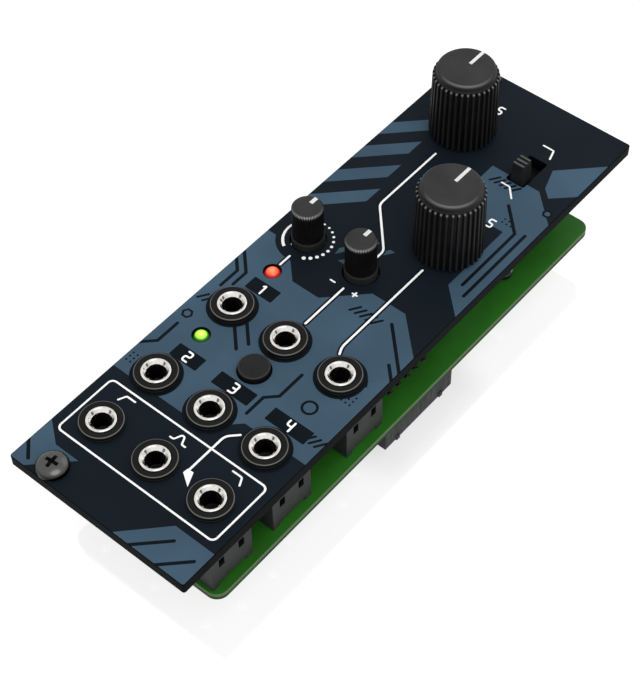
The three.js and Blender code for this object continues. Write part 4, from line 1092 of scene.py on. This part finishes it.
def makeNut(jack, x, y):
    # A round nut: stepped base, straight foot, bevel up to its narrow top. A painted highlight lies on a thin
    # ring at the top's outer edge.
    look = SimpleNamespace(**nutLook)
    bottom, top = footHeadRadius(f"{jack}_nut")[:2]
    step = bottom + look.baseHeight
    loop = roundedRing([
        (look.inner, bottom, 0.03), (look.baseRadius, bottom, 0.03), (look.baseRadius, step, 0.08),
        (look.radius, step + look.stepRise, 0.04), (look.radius, top - look.bevelHeight, 0.06),
        (look.topRadius, top, 0.05), (look.topRadius - look.wornWidth, top, 0.02),
        (look.inner + look.innerBevel, top, 0.04), (look.inner, top - look.innerBevel, 0.04),
    ], 4)
    # Painted highlight near the top's outer edge
    paintedLight = nearness(loop, look.topRadius, top - look.wearDrop, look.wearSpread) + np.zeros(look.sides)
    grid = turned(loop, look.sides, x, y)
    piece = fromGrids(f"{jack}_round_nut", [grid], ["blackened_nut"], values={"paintedLight": [paintedLight]})
    standIn(piece, f"{jack}_nut")


def windowOrWall(corners):
    # The insides of a housing's small side windows are painted dark, a painted shade
    low, high = corners.min(axis=0), corners.max(axis=0)
    foot, head = housingLook["windowLevels"]
    return int(low[2] > foot and high[2] < head and high[1] - low[1] < housingLook["windowWidth"])


for jack, place in jackPlace.items():
    makeBushing(jack, *place)
    makeNut(jack, *place)
    soften(f"{jack}_housing", f"{jack}_moulded_housing", housingLook["bevel"],
           ["jack_housing", "painted_shade_black"], windowOrWall)
print("jacks made")


# Knobs
# Where a large rib has its points to each side of its crest, as shares of the ribs' pitch
halfRib = (0.05, 0.1, 0.15, 0.18, 0.22, 0.26, 0.3, 0.4)
pointerRound = 0.03
largeKnobLook = {
    "ribs": 36, "ribShares": sorted((-0.5, 0, *halfRib, *[-share for share in halfRib])),
    "ribHalves": (0.15, 0.3), "baseRadius": 6.75,
    "shoulderRadius": 6.45, "ribDepth": 0.5, "ribSlope": 0.45, "shoulderDrop": 1.45, "capRadius": 5.75,
    "topRadius": 5.3, "bevel": 0.45, "recessRadius": 5.5, "recessDepth": 3.2, "boreRadius": 3.15,
    "boreDrop": 3.35, "pointerWidth": 0.7, "pointerInner": 1.1, "pointerSink": 0.03, "pointerDepth": 0.2,
    "pointerPast": 0.02, "footInset": 0.1, "footRise": 0.14, "footDepthShare": 0.8, "ledge": (0.02, 0.04),
    "sideWear": 0.05, "tipAngles": (20, 40, 60, 78, 90), "tipWear": (0.54, 0.9, 0.63, 0, 0), "tipPower": 4,
    "edgePlace": 0.1, "edgeWear": 0.95, "edgeSpread": 0.05, "bandEnds": (0.001, 0.08),
}
smallKnobLook = {
    "ribs": 60, "ribShares": (-0.5, -0.3, -0.14, 0, 0.14, 0.3), "ribHalves": (0.1, 0.45), "radius": 3.0,
    "ribDepth": 0.16, "capRadius": 2.48, "capHeight": 0.35, "collarRadius": 3.2, "collarDepth": 5,
    "collarTop": 4.0, "stemRadius": 2.5, "pointerWidth": 0.8, "pointerInner": 1.0, "pointerSink": 0.03,
    "pointerDepth": 0.3, "rim": 0.16, "rimDrop": 0.08, "rimDepthShare": 0.3, "capEdge": (0.06, 0.02),
    "stemBevel": 0.2, "collarBevel": (0.14, 0.16), "neckInset": 0.1, "neckRises": (0.12, 0.2),
    "tipDrops": (0.6, 0.25), "tipInset": 0.04, "sideWear": 0.015, "tipWear": (0.5, 1, 0.5), "tipPower": 9,
    "bandEnds": (0.1, 0.09),
}


def ribCrest(shares, crestHalf, rootHalf):
    # One on the crest, nought at the root, with a smooth flank between
    level = np.clip((rootHalf - np.abs(shares)) / (rootHalf - crestHalf), 0, 1)
    return level * level * (3 - 2 * level)


def ribbedKnob(name, node, look, place, rows, bands, outer, edge=0.0):
    # Rows of root radius, height, rib depth and tip highlight, carried round with a crest on every rib.
    # Bands pairs each material with the height that it ends at. A pointer is laid into the top,
    # out to the outer radius.
    radius, height, depth, tip = np.array(rows, float).T[..., None]
    shares = np.array(look.ribShares)
    crest = np.tile(ribCrest(shares, *look.ribHalves), look.ribs)
    angles = (onceRound(look.ribs)[:, None] + shares * 2 * np.pi / look.ribs).ravel()
    x, y = place
    knob = carried(radius + depth * crest, height, angles, x, y)
    # Painted highlight: a little on the rib crests, more on the rib tips, and along the large cap's edge
    paintedLight = look.sideWear * (depth > 0) * crest + tip * crest ** look.tipPower + edge
    materials, limits = zip(*bands)
    paint = np.searchsorted(limits[:-1], height[:-1, 0], side="right")
    inner, top = look.pointerInner, footHeadRadius(node)[1]
    centre, half = (x, y + (inner + outer) / 2), (look.pointerWidth / 2, (outer - inner) / 2)
    foot = top - look.pointerSink - look.pointerDepth
    pointer = uprightBlock(centre, half, foot, top, pointerRound)
    piece = fromGrids(name, [knob, pointer], [*materials, "pointer_white"], [paint, len(materials)],
                      {"paintedLight": [paintedLight, np.zeros(pointer.shape[:2])]}, sharp=40)
    standIn(piece, node)


def makeLargeKnob(number, place):
    # Tapered ribs that end in a rounded shoulder, and a smooth bevelled cap
    look = SimpleNamespace(**largeKnobLook)
    base, head = footHeadRadius(f"large_knob_{number}")[:2]
    top, bore, recess = head - look.pointerSink, head - look.boreDrop, base + look.recessDepth
    shoulder = top - look.shoulderDrop
    foot = shoulder - look.ribSlope
    bevelFoot = top - look.bevel
    depth = look.ribDepth
    rootBase, rootTop = look.baseRadius - depth, look.shoulderRadius - depth
    rows = [
        (0, bore, 0, 0), (look.boreRadius, bore, 0, 0), (look.boreRadius, recess, 0, 0),
        (look.recessRadius, recess, 0, 0), (look.recessRadius, base, 0, 0),
        (rootBase - look.footInset, base, depth * look.footDepthShare, 0),
        (rootBase, base + look.footRise, depth, 0),
        ((rootBase + rootTop) / 2, (base + foot) / 2, depth, 0),
        (rootTop, foot, depth, 0),
    ]
    rows += [(rootTop, foot + look.ribSlope * np.sin(t), depth * np.cos(t), paintedLight)
             for t, paintedLight in zip(np.radians(look.tipAngles), look.tipWear)]
    ledgeInset, ledgeRise = look.ledge
    cap = rounded([
        (rootTop - ledgeInset, shoulder, 0), (look.capRadius, shoulder + ledgeRise, 0.1),
        (look.capRadius, bevelFoot, 0.12), (look.topRadius, top, 0.22), (0, top, 0),
    ], 3, closed=False)
    rows = np.array(rows + [(radius, height, 0, 0) for radius, height in cap])
    # A painted highlight along the cap's bevelled edge
    near = look.edgePlace
    edge = look.edgeWear * nearness(rows, look.topRadius + near, top - near, look.edgeSpread)
    ribsEnd, collarEnd = look.bandEnds
    # The ribbed sides and the cap's wall are darker copies of the knob's plastic, a painted shade
    bands = [("ribbed_plastic", shoulder - ribsEnd), ("collar_plastic", bevelFoot - collarEnd),
             ("knob_plastic", top)]
    ribbedKnob(f"ribbed_large_knob_{number}", f"large_knob_{number}", look, place, rows, bands,
               look.topRadius + look.pointerPast, edge)


def makeSmallKnob(number, place):
    # A fine knurl over a smooth collar, on one stem
    look = SimpleNamespace(**smallKnobLook)
    bottom, head = footHeadRadius(f"small_knob_{number}")[:2]
    top, capFoot = head - look.pointerSink, head - look.capHeight
    depth, root, rim = look.ribDepth, look.radius - look.ribDepth, look.capRadius + look.rim
    collar, collarFoot = look.collarTop, panelFace - look.collarDepth
    neck, (neckTop, ribFoot) = root - look.neckInset, [collar + rise for rise in look.neckRises]
    tipFoot, tipMiddle = [capFoot - drop for drop in look.tipDrops]
    (bevelInset, bevelDrop), (edgeOut, edgeDrop) = look.collarBevel, look.capEdge
    lowHighlight, highHighlight, rimHighlight = look.tipWear
    rows = [
        (0, bottom, 0, 0), (look.stemRadius - look.stemBevel, bottom, 0, 0),
        (look.stemRadius, bottom + look.stemBevel, 0, 0), (look.stemRadius, collarFoot, 0, 0),
        (look.collarRadius, collarFoot, 0, 0), (look.collarRadius, collar - bevelDrop, 0, 0),
        (look.collarRadius - bevelInset, collar, 0, 0), (neck, collar, 0, 0), (neck, neckTop, 0, 0),
        (root, ribFoot, depth, 0), (root, (collar + capFoot) / 2, depth, 0), (root, tipFoot, depth, 0),
        (root, tipMiddle, depth, lowHighlight), (root - look.tipInset, capFoot, depth, highHighlight),
        (rim, top - look.rimDrop, depth * look.rimDepthShare, rimHighlight),
        (look.capRadius + edgeOut, top - edgeDrop, 0, 0), (look.capRadius, top, 0, 0), (0, top, 0, 0),
    ]
    collarEnd, knurlEnd = look.bandEnds
    # The collar and the knurl are darker copies of the knob's plastic, a painted shade
    bands = [("collar_plastic", collar + collarEnd), ("knurled_plastic", top - knurlEnd),
             ("knob_plastic", top)]
    ribbedKnob(f"knurled_small_knob_{number}", f"small_knob_{number}", look, place, rows, bands, rim)


for number in (1, 2):
    makeLargeKnob(number, largeKnobPlace[number])
    makeSmallKnob(number, smallKnobPlace[number])
print("knobs made")


# Pot bodies, slide switch and push button
potLook = {"bevel": 0.14, "legSpan": 1.5, "large": ("pot_case", 5.55), "small": ("black_plastic", 5.3)}
switchLook = {
    "leverBevel": 0.1, "frameBevel": 0.12, "baseBevel": 0.14, "ridgeDrop": 0.05, "coverTop": -0.3,
    "coverThickness": 0.3, "coverReach": (2.7, 6.8), "coverHole": (1.45, 1.8), "coverRadius": 0.2,
}
buttonLook = {
    "stemRadius": 1.7, "capHeight": 3.2, "rimDrop": 0.22, "rimInset": 0.3, "sideEnd": 0.24, "sides": 72,
    "wearPlace": (0.14, 0.1), "wearSpread": 0.02, "wearFrom": 0.2, "bodyBevel": 0.12,
}


def legsOrCase(edge):
    # Faces that stick out past the case's lower side belong to the solder legs
    return lambda corners: int(corners[:, 1].min() < edge and np.ptp(corners[:, 1]) < potLook["legSpan"])


def makeSwitch():
    # The solids with rounded edges; the lever's topmost faces are painted lighter, a painted highlight on its
    # ridges
    top = footHeadRadius("slide_switch_lever")[1]
    soften("slide_switch_lever", "ridged_lever", switchLook["leverBevel"], ["lever_plastic", "lever_ridge_highlight"],
           lambda corners: int(corners[:, 2].min() > top - switchLook["ridgeDrop"]))
    soften("slide_switch_frame", "folded_switch_frame", switchLook["frameBevel"], ["dark_frame"])
    soften("slide_switch_base", "moulded_switch_base", switchLook["baseBevel"], ["black_plastic"])


def makeShadeSheet():
    # A thin black sheet, a painted shade, that slides with the lever under the panel, so that nothing shows
    # through the slot
    look = SimpleNamespace(**switchLook)
    centre = middle("slide_switch_lever")[:2]
    inner, outer = [boxRound(centre, half, look.coverRadius, 3) for half in (look.coverHole, look.coverReach)]
    low, high = look.coverTop - look.coverThickness, look.coverTop
    rows = [(inner, low), (outer, low), (outer, high), (inner, high), (inner, low)]
    grid = np.stack([lifted(outline, z) for outline, z in rows])
    addTo(fromGrids("switch_shade_sheet", [grid], ["painted_shade_black"]), "slide_switch_lever")


def makeButton():
    # Flat cap with a rounded rim, on a stem that reaches down to the switch. The rim carries a painted
    # highlight, and the cap's side is painted darker, a painted shade.
    look = SimpleNamespace(**buttonLook)
    bottom, top, radius = footHeadRadius("button_cap")
    skirt = top - look.capHeight
    profile = rounded([
        (0, bottom, 0), (look.stemRadius, bottom, 0.15), (look.stemRadius, skirt, 0.05),
        (radius, skirt, 0.12), (radius, top - look.rimDrop, 0.16), (radius - look.rimInset, top, 0.2),
        (0, top, 0),
    ], closed=False)
    inset, drop = look.wearPlace
    upper = profile[:, 1:] > top - look.wearFrom
    edge = nearness(profile, radius - inset, top - drop, look.wearSpread) * upper
    paint = np.where(profile[:-1, 1] < top - look.sideEnd, 1, 0)
    cap = fromGrids("round_button_cap", [turned(profile, look.sides, *buttonPlace)],
                    ["button_plastic", "knurled_plastic"], [paint], {"paintedLight": [edge + np.zeros(look.sides)]})
    standIn(cap, "button_cap")
    soften("button_switch_body", "button_switch_case", look.bodyBevel, ["black_plastic"])


for number in (1, 2):
    for size, place in (("large", largeKnobPlace[number]), ("small", smallKnobPlace[number])):
        case, reach = potLook[size]
        soften(f"{size}_pot_{number}_body", f"{size}_pot_{number}_case", potLook["bevel"],
               [case, "tinned_legs"], legsOrCase(place[1] - reach))
makeSwitch()
makeShadeSheet()
makeButton()


# Indicator lights
lightLook = {
    "radius": 1.5, "flange": 1.9, "flangeDrop": 4.3, "flangeHeight": 1, "domeHeight": 1.1, "sides": 40,
    "legHalf": 0.25, "legStep": 0.635, "legRound": 0.05, "tube": (1.25, 1.9), "tubeSides": 32,
    "tubeRound": 0.08, "flangeBevel": 0.1, "legInto": 0.1,
}


def makeLight(colour, x, y):
    # Flange, straight body and dome in one lens, over two square legs, in a spacer tube
    look = SimpleNamespace(**lightLook)
    bottom, top = footHeadRadius(f"{colour}_led")[:2]
    radius, flange = look.radius, look.flange
    flangeTop, domeFoot = top - look.flangeDrop, top - look.domeHeight
    foot = flangeTop - look.flangeHeight
    dome = np.radians(np.linspace(0, 90, 9))
    bevel = look.flangeBevel
    profile = [(0, foot), (flange - bevel, foot), (flange, foot + bevel), (flange, flangeTop - bevel),
               (flange - bevel, flangeTop), (radius, flangeTop)]
    profile += [(radius * np.cos(t), domeFoot + look.domeHeight * np.sin(t)) for t in dome]
    profile = np.array(profile)
    profile[-1, 0] = 0
    core = np.clip(1 - profile[:, :1] / radius, 0, 1) * (profile[:, 1:] > domeFoot - 0.01)
    legHalf, legTop = (look.legHalf, look.legHalf), foot + look.legInto
    legs = [uprightBlock((x, legY), legHalf, bottom, legTop, look.legRound)
            for legY in (y - look.legStep, y + look.legStep)]
    cores = [core + np.zeros(look.sides)] + [np.zeros(leg.shape[:2]) for leg in legs]
    piece = fromGrids(f"{colour}_lens", [turned(profile, look.sides, x, y), *legs],
                      [f"{colour}_light", "lamp_legs"], [0, 1, 1], {"core": cores}, sharp=45)
    standIn(piece, f"{colour}_led")
    bottom, top = footHeadRadius(f"{colour}_led_spacer")[:2]
    inner, outer = look.tube
    corners = [(inner, bottom), (outer, bottom), (outer, top), (inner, top)]
    loop = roundedRing([(*corner, look.tubeRound) for corner in corners], 2)
    tube = fromGrids(f"{colour}_spacer_tube", [turned(loop, look.tubeSides, x, y)], ["black_plastic"])
    standIn(tube, f"{colour}_led_spacer")


for colour, place in lightPlace.items():
    makeLight(colour, *place)
print("switch, button and lights made")


# Power header, capacitors and chips
headerLook = {"bevel": 0.1, "pinReach": 0.4}
capacitorLook = {
    "sides": 48, "footBevel": 0.25, "groove": (1.1, 1.3, 1.5), "grooveDepth": 0.22, "rimDrop": 0.2,
    "rimInset": 0.25, "lip": (0.5, 0.55), "topDrop": 0.08, "topInset": 0.52, "stripeShare": 7,
    "stripeEnds": (0.1, 0.01), "scoreDepth": 0.05, "scoreWidth": 0.06,
}


def makeHeader():
    # Faces within reach of one pin's place are that pin's: gilded below the board, soldered above it, where
    # they are painted dark, a painted shade
    pins = np.array(pinPlaces())

    def paint(corners):
        near = np.abs(corners[:, None, :2] - pins).max(axis=2) < headerLook["pinReach"]
        if not near.all(axis=0).any():
            return 0
        return 2 if corners[:, 2].max() > boardTop else 1

    materials = ["header_plastic", "gilded_pins", "shaded_pin_tips"]
    soften("power_header", "keyed_power_header", headerLook["bevel"], materials, paint)


def makeCapacitor(number):
    # Rolled groove near the foot, sleeve turned over the rim, and a scored metal top, painted dark as a
    # painted shade
    look = SimpleNamespace(**capacitorLook)
    node = f"capacitor_{number}"
    bottom, top, radius = footHeadRadius(node)
    grooveFoot, groove, grooveTop = [bottom + rise for rise in look.groove]
    lip, lipFoot = look.lip
    profile = rounded([
        (0, bottom, 0), (radius - look.footBevel, bottom, 0.1), (radius, bottom + look.footBevel, 0.1),
        (radius, grooveFoot, 0.15), (radius - look.grooveDepth, groove, 0.2), (radius, grooveTop, 0.15),
        (radius, top - look.rimDrop, 0.2), (radius - look.rimInset, top, 0.1), (radius - lip, top, 0.03),
        (radius - lipFoot, top - look.topDrop, 0.02), (0, top - look.topDrop, 0),
    ], 3, closed=False)
    grid = turned(profile, look.sides, *middle(node)[:2])
    angles = onceRound(look.sides)
    score = np.minimum(np.abs(np.sin(angles)), np.abs(np.cos(angles))) < look.scoreWidth
    grid[-2, :, 2] -= look.scoreDepth * score
    level = profile[:-1, 1:]
    onTop = (profile[:-1, :1] < radius - look.topInset) & (level > top - look.rimDrop)
    stripeFoot, stripeHead = look.stripeEnds
    upright = (level > grooveTop + stripeFoot) & (level < top - stripeHead) & ~onTop
    stripe = np.arange(look.sides) < look.sides // look.stripeShare
    paint = np.where(level < grooveFoot, 3, np.where(onTop, 2, np.where(upright & stripe, 1, 0)))
    materials = ["capacitor_sleeve", "capacitor_stripe", "shaded_capacitor_top", "black_plastic"]
    standIn(fromGrids(f"sleeved_capacitor_{number}", [grid], materials, [paint]), node)


def makeChip(name):
    # Faces that stick out past the body's width belong to the legs
    centre = middle(f"{name}_chip")
    reach = chipLook["bodyHalf"] + chipLook["legGap"]
    soften(f"{name}_chip", f"{name}_chip_package", chipLook["bevel"], ["chip_body", "tinned_legs"],
           lambda corners: int(np.abs(corners[:, 0] - centre[0]).max() > reach))


makeHeader()
for number in (1, 2):
    makeCapacitor(number)
for name in chipNames:
    makeChip(name)
print("board parts made")


# Rack screws: domed head with a cross recess, and a threaded shank
screwLook = {
    "sides": 64, "headRadius": 2.95, "edge": 0.6, "headHeight": 1.9, "shankRadius": 1.5, "threadDepth": 0.2,
    "threadPitch": 0.5, "threadEnds": (0.5, 0.3), "tipRadii": (1.05, 1.3), "crossWidth": 0.72,
    "crossReach": 1.38, "crossDepth": 1.15, "crossAbove": 0.3, "crossSpread": (0.62, 1.1), "crossTurn": 0.1,
    "footBevel": 0.06, "tipHeight": 0.45, "sharp": 38,
}


def crossCutter(x, y, top):
    # Two crossed bars that narrow downwards; each quarter turn carries on the outline of one arm
    look = SimpleNamespace(**screwLook)
    half, reach = look.crossWidth / 2, look.crossReach
    arm = np.array([(-half, half), (-half, reach), (half, reach)])
    corners = []
    for turn in look.crossTurn - onceRound(4):
        corners.append(arm @ np.array([(math.cos(turn), math.sin(turn)), (-math.sin(turn), math.cos(turn))]))
    outline = np.concatenate(corners)[::-1]
    levels = list(zip((top - look.crossDepth, top + look.crossAbove), look.crossSpread))
    foot, head = [lifted(outline * scale + (x, y), z) for z, scale in levels]
    ends = [np.broadcast_to((x, y, z), foot.shape) for z, _ in levels]
    # The cutter's near-black finish is a painted shade for the recess
    return fromGrids("cross_cutter", [np.stack([ends[0], foot, head, ends[1]])], ["screw_recess_shade"])


def makeScrew(end, x, y):
    # The head is a quarter ellipse carried round. The thread's radius falls and rises once in each pitch,
    # and the wave moves up by one pitch in a full turn.
    look = SimpleNamespace(**screwLook)
    node = f"rack_screw_{end}"
    bottom, top = footHeadRadius(node)[:2]
    edge = top - look.headHeight + look.edge
    head = [(look.shankRadius, panelFace), (look.headRadius - look.footBevel, panelFace),
            (look.headRadius, panelFace + look.footBevel)]
    head += [(look.headRadius * np.cos(t), edge + (top - edge) * np.sin(t))
             for t in np.radians(np.linspace(0, 90, 10))]
    head[-1] = (0, top)
    tipEnd, threadEnd = look.threadEnds
    levels = np.arange(bottom + tipEnd, panelFace - threadEnd, look.threadPitch / 8)[:, None]
    angles = onceRound(look.sides)
    wave = np.abs((levels / look.threadPitch - angles / (2 * np.pi)) % 1 - 0.5) * 2
    thread = carried(look.shankRadius - look.threadDepth * wave, levels, angles, x, y)
    inner, outer = look.tipRadii
    tip = turned([(0, bottom), (inner, bottom), (outer, bottom + look.tipHeight)], look.sides, x, y)
    grid = np.concatenate([tip, thread, turned(head, look.sides, x, y)])
    piece = fromGrids(f"crosshead_screw_{end}", [grid], ["chrome_with_painted_light", "screw_recess_shade"], sharp=look.sharp)
    cutter = crossCutter(x, y, top)
    carve = piece.modifiers.new("cross", "BOOLEAN")
    carve.operation = "DIFFERENCE"
    carve.solver = "EXACT"
    carve.object = cutter
    carved = bpy.data.meshes.new_from_object(piece.evaluated_get(bpy.context.evaluated_depsgraph_get()))
    piece.modifiers.clear()
    piece.data = carved
    bpy.data.objects.remove(cutter)
    carved.set_sharp_from_angle(angle=math.radians(look.sharp))
    standIn(piece, node)


for end, place in screwPlace.items():
    makeScrew(end, *place)
print("screws made")


# The turned steel under the large knobs is right as it is in the CAD, and gets its metal
for number in (1, 2):
    for part in ("shaft", "washer", "nut"):
        frame["nodes"][f"large_pot_{number}_{part}"].material_slots[0].material = finishes["turned_steel"]
